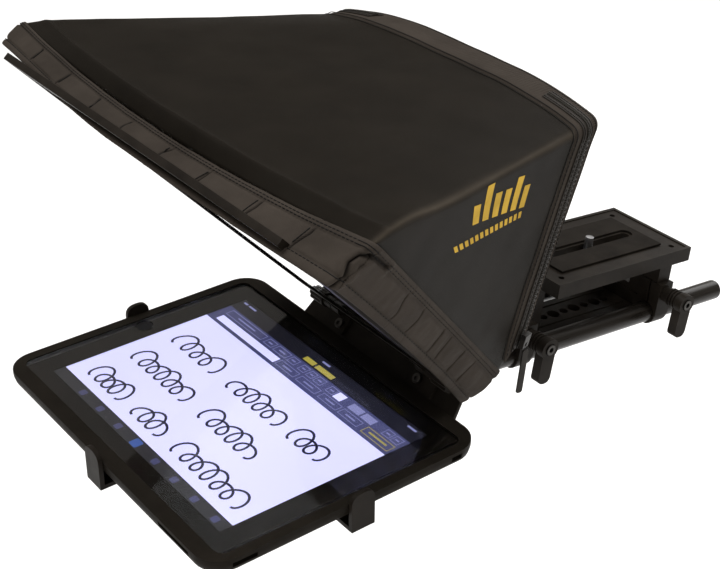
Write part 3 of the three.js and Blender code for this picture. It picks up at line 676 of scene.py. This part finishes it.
TOP_CREASES = (-140, -100, -58, -22, 20, 58, 103, 145)  # x of the creases across the top
SIDE_CREASES_EDGE = (0.144, 0.239, 0.36, 0.428, 0.6, 0.714)  # shares of the side, from its lower end
SIDE_CREASES_SEAM = (0.193, 0.297, 0.42, 0.485, 0.66, 0.768)
CREASED = (0.2, 0.82, 0.08)  # the creases run between these b, and fade over the last
CREASE_WAVER = (3.6, 0.03, 2.4)  # height and scale of a crease's wandering, and its scale in b
CREASE_DEPTH = (1.1, 0.7)  # depth and half width
CREASE_SHADOW = 0.62  # half width of a crease's painted dark line
PILLOW = (0.6, 14.0)  # height of the cloth between creases, and how far from one it's reached
CREASE_ENDS = 0.25  # the share of its depth that a crease keeps at the band's edges
CALM_ENDS = 0.5  # and the share of their height that the waves keep
FOLD_HEIGHT = 0.6  # of the folded edge along the seam
FOLD_AT = (0, 0.2, 0.05)  # b from and to, and the b it takes to rise
HEM_ROLL = (0.9, 0.9, 0.1)  # height, middle and half width of the rolled hem
GROOVES = ((0.22, 0.02), (0.79, 0.018))  # (b, half width) of the stitched grooves
GROOVE_DEPTH = 0.4
RIPPLE = (0.9, 0.05, 4.0)  # height, scale and place of the noise
CRUMPLE = (0.35, 0.17, 9.0)
# The edge of the flap folded over at the corner, as (distance down the side, distance from the seam).
TUCKED_EDGE = ((27, 3.8), (9.7, 4.3), (0, 7.7), (-1, 12.2), (4.7, 17.6), (2.7, 24))
TUCK_REACH = 45  # the flap has no effect further from the corner
TUCK_DEPTH = (1.5, 0.9)  # depth and half width of the line along the flap's edge
TUCK_RIM = (0.9, 3.2, 2.0)  # height, distance from the edge and half width of the cloth beside it
BAND_LIFT = 0.2
FAR = 99.0  # the distance given where there is no flap


def band_top_point(x, b, corner):
    """The band over x on the top side."""
    k = x / corner.x
    dip = 1 - k * k
    seam, edge = [
        Vector((x, high.y - sag[0] * dip, high.z - sag[1] * dip))
        for high, sag in ((SEAM_HIGH, SEAM_SAG), (EDGE_HIGH, EDGE_SAG))
    ]
    return lerp(seam, edge, b)


def hang_share(a):
    """The share of HANG at a: none on the left side, all of it at the right upper corner."""
    q = 1 - abs(a)
    if a < 0:
        return HANG_MIDDLE * smoothstep((q - HANG_FADE[0]) / HANG_FADE[1])
    return lerp(1, HANG_MIDDLE, (q - CORNER) / (1 - CORNER)) if q > CORNER else (q / CORNER) ** 2


def band_base(a, b):
    """The band's smooth face."""
    q = 1 - abs(a)
    low = lerp(SEAM_LOW, EDGE_LOW, b)
    if a < 0:
        low = low + TUCK * lerp(SEAM_TUCK, EDGE_TUCK, b)
    corner = lerp(SEAM_HIGH, EDGE_HIGH, b)
    point = folded(q, low, corner, lambda x: band_top_point(x, b, corner))
    belly = math.sin(math.pi * min(1.0, b))
    if q < SIDE_END:
        foot = bell(q, FOOT_LENGTH)
        point.x += belly * (SIDE_BELLY + FOOT_BELLY * foot)
        point.y -= FOOT_FORWARD * foot * belly
    else:
        point.z += TOP_BELLY * belly
    point += HANG * (b * hang_share(a))
    if a < 0:
        point.x = -point.x
    return point


def crease_distance(a, b, point):
    """The distance to the nearest crease."""
    q = 1 - abs(a)
    height, scale, scale_b = CREASE_WAVER
    waver = height * noise.noise(Vector((point.x * scale, b * scale_b, point.z * scale)))
    if q > TOP_START:
        position = point.x + waver
        marks = TOP_CREASES
    else:
        position = min(1.0, q / SIDE_END) * SIDE_LENGTH + waver
        marks = [lerp(s, e, b) * SIDE_LENGTH for s, e in zip(SIDE_CREASES_SEAM, SIDE_CREASES_EDGE)]
    return min(abs(position - mark) for mark in marks)


def from_corner(q):
    """How far down the side from the corner a point of the band is; it is less than 0 on the top."""
    if q < SIDE_END:
        return FOLD_RADIUS + (1 - q / SIDE_END) * SIDE_LENGTH
    if q > TOP_START:
        return -FOLD_RADIUS - (q - TOP_START) / (1 - TOP_START) * TOP_HALF
    return (CORNER - q) / (CORNER - SIDE_END) * FOLD_RADIUS


def tuck_distance(a, b):
    """The distance to the folded-over flap's edge, where the band turns the corner."""
    here = Vector((from_corner(1 - abs(a)), b * BAND_WIDTH))
    if abs(here.x) > TUCK_REACH:
        return FAR
    nearest = FAR
    for start, end in zip(TUCKED_EDGE, TUCKED_EDGE[1:]):
        start, end = Vector(start), Vector(end)
        run = end - start
        t = min(1.0, max(0.0, (here - start).dot(run) / run.dot(run)))
        nearest = min(nearest, (here - start - run * t).length)
    return nearest


def painted_crease_shade_share(a, b):
    """How deep in a crease or fold a point of the band is, from 0 to 1, for the painted shade there."""
    near = crease_distance(a, b, band_base(a, b))
    return max(bell(near, CREASE_SHADOW) * window(b, *CREASED), bell(tuck_distance(a, b), TUCK_DEPTH[1]))


def rough(point, height, scale, place):
    return height * noise.noise(Vector((point.x * scale, point.y * scale, point.z * scale + place)))


def band_relief(a, b, point):
    """How far the band's face stands out: a folded edge at the seam, a rolled hem, and creases between."""
    near = crease_distance(a, b, point)
    middle = window(b, *CREASED)
    fold = FOLD_HEIGHT * window(b, *FOLD_AT)
    across_roll = (b - HEM_ROLL[1]) / HEM_ROLL[2]
    roll = HEM_ROLL[0] * math.sqrt(max(0.0, 1 - across_roll * across_roll))
    groove = -GROOVE_DEPTH * sum(bell(b - line, half) for line, half in GROOVES)
    cut = -CREASE_DEPTH[0] * bell(near, CREASE_DEPTH[1]) * lerp(CREASE_ENDS, 1, middle)
    pillow = PILLOW[0] * smoothstep(near / PILLOW[1]) * middle
    tuck = tuck_distance(a, b)
    cut += TUCK_RIM[0] * bell(tuck - TUCK_RIM[1], TUCK_RIM[2]) - TUCK_DEPTH[0] * bell(tuck, TUCK_DEPTH[1])
    waves = rough(point, *RIPPLE) + rough(point, *CRUMPLE)
    return fold + roll + groove + cut + pillow + waves * lerp(CALM_ENDS, 1, middle)


def band_at(a, b, lift=0.0):
    """The band's outer face with its relief, raised by lift."""
    point, normal, _ = surface_frame(band_base, a, b)
    return point - normal * (lift + band_relief(a, b, point) + BAND_LIFT)


band = grid(
    "mouth_band", lambda u, v: band_at(2 * u - 1, v), BAND_COLUMNS, BAND_ROWS, (HOOD_GIRTH, BAND_WIDTH),
    "webbing", 0.9, ("band_top", "band_left", "band_right"), flip=True,
)
# painted shade in the band's creases and along the flap's edge
store(band, "fold", BAND_COLUMNS, BAND_ROWS, painted_crease_shade_share)

SEAM_ROWS = (0.1, 0.17, 0.82)  # b of the long rows of stitches
CROSS_START = 0.32  # b of the first stitch across a crease
CROSS_STEP = 0.08
CROSS_COUNT = 5
CREASE_HALF = 176.0  # the top's half width at the creases
BAND_STITCH = (2.4, 0.55, 0.3)
BAND_STITCHES = 250


rows = []
for b in SEAM_ROWS:
    rows += line_of_stitches(across(band_base, band_at, lambda a: b, 0.12, 0.995, -1), BAND_STITCHES)
for crease in TOP_CREASES:
    a = math.copysign(1 - q_over_top(crease, CREASE_HALF), crease)
    _, normal, _ = surface_frame(band_base, a, 0.5)
    for k in range(CROSS_COUNT):
        b = CROSS_START + CROSS_STEP * k
        here = band_at(a, b, 0.25)
        ahead = band_at(a, b + CROSS_STEP / 2, 0.25)
        rows.append((here, ahead - here, -normal))
band_stitches = beads("band_stitches", rows, BAND_STITCH, THREAD)


# ---------- the printed mark on the side ----------

MARK_START = (0.372, 0.866)  # (v, share of the side's height) at the mark's lower front corner
MARK_WIDE = (0.318, -0.062)  # how (v, share) change along the mark
MARK_TALL = (0.05, 0.175)  # and from its foot to its head
LINE_START = (0.246, 0.785)
LINE_WIDE = (0.4354, -0.0265)
LINE_TALL = (0.0035, 0.030)
HEADS = (0.5, 1.0, 0.62, 0.62, 0.84, 0.56)  # the heights of the mark's bars
BAR_PITCH = 0.175
BAR_WIDTH = 0.11
DASH_COUNT = 14
DASH_SHARE = 0.62  # a dash's share of its pitch
INK_LIFT = 0.12
INK_STEPS = 8


def printed(name, start, wide, tall, blocks):
    """Thin ink blocks on the right side; each is (from, to) along the mark and (foot, head) across it."""
    points = []
    faces = []
    for (x0, x1), (y0, y1) in blocks:
        first = len(points)
        for j in range(INK_STEPS + 1):
            for i in range(INK_STEPS + 1):
                x = lerp(x0, x1, i / INK_STEPS)
                y = lerp(y0, y1, j / INK_STEPS)
                v = start[0] + wide[0] * x + tall[0] * y
                share = start[1] + wide[1] * x + tall[1] * y
                points.append(hood_at(1 - share * SIDE_END, v, INK_LIFT) * MM)
        for j in range(INK_STEPS):
            for i in range(INK_STEPS):
                low = first + j * (INK_STEPS + 1) + i
                high = low + INK_STEPS + 1
                faces.append((low, low + 1, high + 1, high))
    return finish_object(name, mesh_of(name, points, faces), HOOD_BODY, PRINT)


bars = [((k * BAR_PITCH, k * BAR_PITCH + BAR_WIDTH), (0.0, head)) for k, head in enumerate(HEADS)]
dashes = [((k / DASH_COUNT, (k + DASH_SHARE) / DASH_COUNT), (0.0, 1.0)) for k in range(DASH_COUNT)]
mark = printed("side_mark", MARK_START, MARK_WIDE, MARK_TALL, bars)
mark_line = printed("side_mark_line", LINE_START, LINE_WIDE, LINE_TALL, dashes)


# ---------- zips ----------

TAPE_HALF = 5.6
TAPE_LENGTH = 200
TAPE_LIFT = 1.7  # the tape's height over the hood's face
TAPE_CROWN = 0.5  # how much higher its middle is, and how deep the slot between its halves
TAPE_SLOT = 0.5
ZIP_TOP_X = 81.0  # the zip ends this far from the middle of the top
TOOTH_COUNT = 124  # on each half
TOOTH_LIFT = 2.35
TOOTH_FROM = 0.95  # a tooth's middle is this far from the zip's line
ZIP_SEAM = 4.3  # and the row of stitches this far
ZIP_STITCHES = 66
ZIP_STITCH = (2.3, 0.45, 0.25)
ZIP_STITCH_LIFT = 1.95
TOOTH = (1.9, 0.95, 0.55)


def zip_line(side, t, offset=0.0, lift=0.0):
    """(point, normal) along a zip from its lower end to its end on the top; offset is towards the rear."""
    q = lerp(0.0, q_over_top(ZIP_TOP_X, ZIP_HIGH.x - FOLD_RADIUS), t)
    a = side * (1 - q)
    _, normal, rearward = surface_frame(hood_base, a, 1.0)
    point = hood_at(a, 1.0)
    return point + rearward * offset + normal * lift, normal


def make_zip(side, word):
    """The tape, the coil and the stitches of the zip on one side; side is 1 on the right."""

    def tape_at(u, w):
        offset = (w - 0.5) * 2 * TAPE_HALF
        crown = TAPE_LIFT + TAPE_CROWN * (1 - abs(2 * w - 1)) - TAPE_CROWN * bell(offset, TAPE_SLOT)
        return zip_line(side, u, offset, crown)[0]

    tape = grid(
        "zip_tape_" + word, tape_at, 150, 12, (TAPE_LENGTH, 2 * TAPE_HALF), "zip_tape", 0.6,
        ("zip_" + word,), flip=side > 0,
    )
    teeth = []
    for k in range(TOOTH_COUNT):
        for half in (-1, 1):
            t = (k + 0.5) / TOOTH_COUNT + half * 0.25 / TOOTH_COUNT
            here, up = zip_line(side, t, half * TOOTH_FROM, TOOTH_LIFT)
            out, _ = zip_line(side, t, half * (TOOTH_FROM + 1), TOOTH_LIFT)
            teeth.append((here, out - here, up))
    beads("zip_coil_" + word, teeth, TOOTH, COIL)
    rows = []
    for offset in (-ZIP_SEAM, ZIP_SEAM):
        rows += line_of_stitches(lambda t: zip_line(side, t, offset, ZIP_STITCH_LIFT), ZIP_STITCHES)
    beads("zip_stitches_" + word, rows, ZIP_STITCH, THREAD)
    return tape


zip_tapes = [make_zip(1, "right"), make_zip(-1, "left")]


# ---------- rear panel and lens sleeve ----------

LENS_Z = 112.0
OVER_STEPS = 220  # points of the rear panel's outline over the hood's edge
UNDER_STEPS = 68  # and between its lower ends
PANEL_INSET = (0.004, 0.6)  # how far in v and in height the panel's outline is inside the hood
PANEL_HOLLOW = 2.4
PANEL_PULL = (0.7, 26)  # height and number of the small pulls round the lens opening
PANEL_WAVE = (0.8, 0.02)  # height and scale of the noise
SLEEVE_RADIUS = 53.4
SLEEVE_FRONT = -112.6
SLEEVE_REAR = -81.4
SLEEVE_ROOM = 0.4  # the sleeve is this much wider than the lens opening
SLEEVE_SWELL = 0.8  # and swells this much in its middle
GATHERS = 44
GATHER_DRIFT = (1.4, 3)  # how far the gathers wander round the sleeve, and how often
GATHER_DEPTH = 0.8
GATHER_FRONT = 0.35  # how strong the gathers are at the front
GATHER_GROWTH = 0.9  # and how much stronger behind
DRAWN_IN = 3.0  # how far the elastic draws the rear end in
DRAWN_FROM = (0.35, 0.5)  # where along the sleeve that begins, and over what share of it
ELASTIC = (0.9, 0.94, 0.05)  # height, place and half width of the elastic's casing
SLEEVE_SEAM = 0.88
SLEEVE_STITCH = (2.2, 0.5, 0.3)
SLEEVE_STITCHES = 110
STITCH_LIFT = 0.1


def round_lens(turn, radius, y):
    return Vector((math.cos(turn) * radius, y, LENS_Z + math.sin(turn) * radius))


def rear_loop():
    """The hood's rear edge and the line between its lower ends, in order round the lens opening."""
    v = REAR_V - PANEL_INSET[0]
    over = [hood_at(2 * k / OVER_STEPS - 1, v, -PANEL_INSET[1]) for k in range(OVER_STEPS + 1)]
    under = [lerp(over[-1], over[0], k / UNDER_STEPS) for k in range(1, UNDER_STEPS)]
    return over + under


LOOP = rear_loop()


def rear_at(u, w):
    """The rear panel from the hood's edge, at w 0, in to the lens opening, at w 1."""
    outer = LOOP[round(u * len(LOOP)) % len(LOOP)]
    turn = math.atan2(outer.z - LENS_Z, outer.x)
    point = lerp(outer, round_lens(turn, SLEEVE_RADIUS, SLEEVE_FRONT), w)
    slack = math.sin(math.pi * w)
    point.y -= PANEL_HOLLOW * slack
    pull = PANEL_PULL[0] * slack * w * math.sin(PANEL_PULL[1] * turn)
    point.y += pull + PANEL_WAVE[0] * noise.noise(point * PANEL_WAVE[1]) * slack
    return point


rear_panel = grid(
    "rear_panel", rear_at, len(LOOP), 26, (500, 55), "nylon", 1.0, ("hood_rear",),
    close_u=True, flip=True,
)


def sleeve_at(u, w):
    """The lens sleeve: cloth gathered by elastic towards its rear end."""
    turn = 2 * math.pi * u
    drawn = smoothstep((w - DRAWN_FROM[0]) / DRAWN_FROM[1])
    gather = GATHER_FRONT + GATHER_GROWTH * drawn
    radius = SLEEVE_RADIUS + SLEEVE_ROOM - DRAWN_IN * drawn + SLEEVE_SWELL * math.sin(math.pi * w)
    drift = GATHER_DRIFT[0] * math.sin(GATHER_DRIFT[1] * turn)
    radius += gather * GATHER_DEPTH * math.sin(GATHERS * turn + drift)
    radius += ELASTIC[0] * bell(w - ELASTIC[1], ELASTIC[2])
    return round_lens(turn, radius, lerp(SLEEVE_FRONT, SLEEVE_REAR, w))


def on_sleeve(t):
    """A line round the sleeve for line_of_stitches."""
    turn = 2 * math.pi * t
    outwards = Vector((math.cos(turn), 0, math.sin(turn)))
    return sleeve_at(t, SLEEVE_SEAM) + outwards * STITCH_LIFT, outwards


sleeve = grid(
    "gathered_sleeve", sleeve_at, 352, 22, (336, 31), "nylon", 0.9, ("lens_sleeve",),
    close_u=True,
)
beads("sleeve_stitches", line_of_stitches(on_sleeve, SLEEVE_STITCHES), SLEEVE_STITCH, THREAD)


# ---------- tablet picture ----------

TRAY_TILT = math.radians(6.3)
SCREEN_CENTRE = Vector((0, -272, 20))
TRAY = Matrix.Translation(SCREEN_CENTRE) @ Matrix.Rotation(TRAY_TILT, 4, "X")


def plates(name, outlines, z, thick, material):
    """Thin plates on the tray, one for each outline, with their tops z above the glass's outer face."""
    points = []
    faces = []
    for outline in outlines:
        first = len(points)
        count = len(outline)
        for level in (z - thick, z):
            points += [TRAY @ Vector((x, y, level)) * MM for x, y in outline]
        faces.append([first + k for k in reversed(range(count))])
        faces.append([first + count + k for k in range(count)])
        for k in range(count):
            nxt = (k + 1) % count
            faces.append((first + k, first + nxt, first + count + nxt, first + count + k))
    finish_object(name, mesh_of(name, points, faces), "tray", material, smooth=False)


def rect(x0, x1, y0, y1):
    return [(x0, y0), (x1, y0), (x1, y1), (x0, y1)]


def rounded(x0, x1, y0, y1, radius, steps=5):
    """The outline of a rectangle with rounded corners, anticlockwise."""
    left, right, low, high = x0 + radius, x1 - radius, y0 + radius, y1 - radius
    outline = []
    for quarter, (x, y) in enumerate(((right, high), (left, high), (left, low), (right, low))):
        for k in range(steps + 1):
            turn = math.pi / 2 * (quarter + k / steps)
            outline.append((x + radius * math.cos(turn), y + radius * math.sin(turn)))
    return outline


def ring_plates(x0, x1, y0, y1, line):
    """Four thin bars that outline a rectangle."""
    return [
        rect(x0, x1, y0, y0 + line),
        rect(x0, x1, y1 - line, y1),
        rect(x0, x0 + line, y0 + line, y1 - line),
        rect(x1 - line, x1, y0 + line, y1 - line),
    ]


LOOP_PITCH = 0.95  # all in shares of a word's height
LOOP_REACH = 0.42  # how far a loop swings back
LOOP_VARIES = 0.22
LOOP_STEPS = 20
PLATE_OVERLAP = 0.3  # in shares of the stroke


def scribble(x0, x1, y, height, stroke):
    """A word made of plain loops, with no letters, as short straight plates."""
    loops = max(2, round((x1 - x0) / (height * LOOP_PITCH)))
    steps = loops * LOOP_STEPS
    wide = height * LOOP_REACH
    centre = []
    for k in range(steps + 1):
        t = k / steps
        turn = 2 * math.pi * loops * t
        reach = height * (1.0 + LOOP_VARIES * math.sin(2.1 * loops * t + x0))
        x = lerp(x0 + wide, x1 - wide, t) - wide * math.sin(turn)
        centre.append((x, y + reach * (0.5 - 0.5 * math.cos(turn))))
    strokes = []
    for (xa, ya), (xb, yb) in zip(centre, centre[1:]):
        length = math.hypot(xb - xa, yb - ya)
        nx, ny = -(yb - ya) / length * stroke / 2, (xb - xa) / length * stroke / 2
        ex, ey = (xb - xa) / length * stroke * PLATE_OVERLAP, (yb - ya) / length * stroke * PLATE_OVERLAP
        strokes.append([
            (xa - nx - ex, ya - ny - ey), (xb - nx + ex, yb - ny + ey),
            (xb + nx + ex, yb + ny + ey), (xa + nx - ex, ya + ny - ey),
        ])
    return strokes


DISPLAY_X = 98.5  # half width and half height of the picture
DISPLAY_Y = 73.8
PAGE = (-65.3, 41.6)  # y of the page's lower and upper edge
HEADER_TOP = 61.2
BACK, MID = -1.14, -1.08  # tops of the picture's layers, under the cover glass
LAYER = 0.03
WORD_HEIGHT = 13.0
WORD_STROKE = 1.7

# name: (colour, how uneven it is)
LIGHTS = {
    "page": ((0.82, 0.82, 1.34), 0.05),
    "header": ((0.055, 0.06, 0.17), 0.2),
    "line": ((0.24, 0.25, 0.5), 0.06),
    "ink": ((0.006, 0.005, 0.03), 0.06),
    "yellow": ((0.42, 0.36, 0.06), 0.06),
    "blue": ((0.02, 0.08, 0.35), 0.06),
    "dark": ((0.006, 0.006, 0.012), 0.06),
}
PICTURE = {name: lit_material(name + "_light", *look) for name, look in LIGHTS.items()}


def picture(name, outlines, z, colour):
    plates("picture_" + name, outlines, z, LAYER, PICTURE[colour])


picture("page", [rect(-DISPLAY_X, DISPLAY_X, *PAGE)], BACK, "page")
picture("header", [rect(-DISPLAY_X, DISPLAY_X, PAGE[1], HEADER_TOP)], BACK, "header")
picture("titlebar", [rect(-DISPLAY_X, DISPLAY_X, HEADER_TOP, DISPLAY_Y)], BACK, "dark")
picture("tabbar", [rect(-DISPLAY_X, DISPLAY_X, -DISPLAY_Y, PAGE[0])], BACK, "dark")

# (y of a line's foot, (from, to) of each word)
WORDS = (
    (5.0, ((-88, -33), (-22, 38), (45, 82))),
    (-26.5, ((-87, -18), (-5, 56))),
    (-57.5, ((-87, -43), (-33, 4), (14, 90))),
)
words = []
for base, spans in WORDS:
    for x0, x1 in spans:
        words += scribble(x0, x1, base, WORD_HEIGHT, WORD_STROKE)
picture("words", words, MID, "ink")

picture("fields", [rect(-91, -23, 44.4, 50.6), rect(31, 38.5, 52.6, 59.4)], MID, "page")
# ((y from, y to), (x from, x to) of each button)
BUTTONS = (
    ((44.8, 51), ((-21.5, -1), (1.6, 22.5), (25.5, 44.5), (46.5, 66))),
    (
        (53, 59.5),
        (
            (-47, -38), (-36, -22), (-20, -12), (-8, -1), (1, 7.5),
            (9, 17), (22.5, 30), (80, 87), (88.5, 95.5), (-92, -50),
        ),
    ),
)
BUTTON_LINE = 0.45
LABEL_INSET = 0.26  # the label's distance from the button's ends, in shares of its width
LABEL_HALF = 0.6
outlines, labels = [], []
for (y0, y1), spans in BUTTONS:
    for x0, x1 in spans:
        outlines += ring_plates(x0, x1, y0, y1, BUTTON_LINE)
        middle = (y0 + y1) / 2
        inset = (x1 - x0) * LABEL_INSET
        labels.append(rect(x0 + inset, x1 - inset, middle - LABEL_HALF, middle + LABEL_HALF))
picture("buttons", outlines + labels, MID, "line")
picture("soft_fields", [rect(46, 57.5, 53, 59), rect(59, 70, 53, 59)], MID, "line")
title = ring_plates(70.5, 96.5, 44.4, 51.4, 0.5) + [rect(75, 92, 47.3, 48.7)]
title += [rect(-15, -4, 62.6, 66.8), rect(-2, 16, 62.6, 66.8)]
picture("title", title, MID, "yellow")
status = [rect(x0, x1, 70.2, 71.8) for x0, x1 in ((-96, -92), (-90, -82), (-4, 4), (84, 92))]
picture("status", status, MID, "line")
icons = [rounded(x - 2.6, x + 2.6, -72.6, -67.6, 1.2) for x in (-66, -44, -21.5, 22.5, 44, 66, 88)]
picture("icons", icons, MID, "header")
picture("open_icon", [rounded(-3.6, 3.6, -73.4, -66.6, 1.2)], MID, "blue")

BEZEL_TOP = -0.95
BEZEL_X = 114.2  # half width and half height of the black border under the glass
BEZEL_Y = 86.4
PICTURE_ROOM = 0.2
LENS_X = 112.0  # the small camera beside the picture
LENS_RADIUS = 2.0
LENS_SIDES = 24
inner_x = DISPLAY_X + PICTURE_ROOM
inner_y = DISPLAY_Y + PICTURE_ROOM
border = [
    rect(-BEZEL_X, -inner_x, -BEZEL_Y, BEZEL_Y),
    rect(inner_x, BEZEL_X, -BEZEL_Y, BEZEL_Y),
    rect(-inner_x, inner_x, inner_y, BEZEL_Y),
    rect(-inner_x, inner_x, -BEZEL_Y, -inner_y),
]
plates("bezel_mask", border, BEZEL_TOP, 0.1, BEZEL)
lens_turns = [2 * math.pi * k / LENS_SIDES for k in range(LENS_SIDES)]
lens_dot = [(LENS_X + LENS_RADIUS * math.cos(turn), LENS_RADIUS * math.sin(turn)) for turn in lens_turns]
plates("tablet_lens", [lens_dot], BEZEL_TOP + 0.04, 0.03, COIL)


# ---------- floor, light and camera ----------

FLOOR_Z = -0.45
FLOOR_SIZE = 40
WORLD_COLOUR = (1, 0.94, 0.87, 1)
WORLD_STRENGTH = 0.32
CAMERA_PLACE = (0.63883, -0.72013, 0.499552)
CAMERA_TURN = (63.2536, -5.3467, 52.4785)
CAMERA_LENS = 73.04

bpy.ops.mesh.primitive_plane_add(size=FLOOR_SIZE, location=(0, 0, FLOOR_Z))
floor = bpy.context.object
floor.name = "floor"
floor_material, floor_tree, floor_shader = blank_material("pale_floor", {"Roughness": 0.9})
floor_tone = noise_of(floor_tree, object_place(floor_tree), scale=1.5, detail=2)
vary_colour(floor_tree, floor_shader.inputs["Base Color"], floor_tone, (1, 1, 1), dark=0.86, light=0.9)
floor.data.materials.append(floor_material)

scene = bpy.context.scene
scene.view_settings.view_transform = "Standard"
world = bpy.data.worlds.new("studio")
scene.world = world
world.use_nodes = True
background = world.node_tree.nodes["Background"]
background.inputs["Color"].default_value = WORLD_COLOUR
background.inputs["Strength"].default_value = WORLD_STRENGTH


def light(name, kind, location, target, energy, size):
    """An area lamp, or a sun of that angle, aimed at target."""
    lamp = bpy.data.lights.new(name, kind)
    lamp.energy = energy
    if kind == "AREA":
        lamp.shape = "SQUARE"
        lamp.size = size
    else:
        lamp.angle = size
    holder = bpy.data.objects.new(name, lamp)
    scene.collection.objects.link(holder)
    holder.location = location
    aim = (Vector(target) - Vector(location)).to_track_quat("-Z", "Y")
    holder.rotation_euler = aim.to_euler()


light("sun_key", "SUN", (-1.0, -1.4, 3.2), (0, 0, 0), 2.7, 0.6)
light("fold_strip", "AREA", (0.62, 0.7, 1.9), (0.14, -0.2, 0.2), 20, 0.6)
light("right_strip", "AREA", (1.9, -0.3, 1.3), (0, -0.2, 0.1), 8, 1.2)
light("rear_rim", "AREA", (-0.6, 2.0, 1.6), (0, -0.1, 0.1), 22, 1.4)

camera_data = bpy.data.cameras.new("camera")
camera_data.lens = CAMERA_LENS
camera_data.sensor_width = 36
camera_data.clip_start = 0.01
camera = bpy.data.objects.new("camera", camera_data)
scene.collection.objects.link(camera)
camera.location = CAMERA_PLACE
camera.rotation_euler = [math.radians(angle) for angle in CAMERA_TURN]
scene.camera = camera
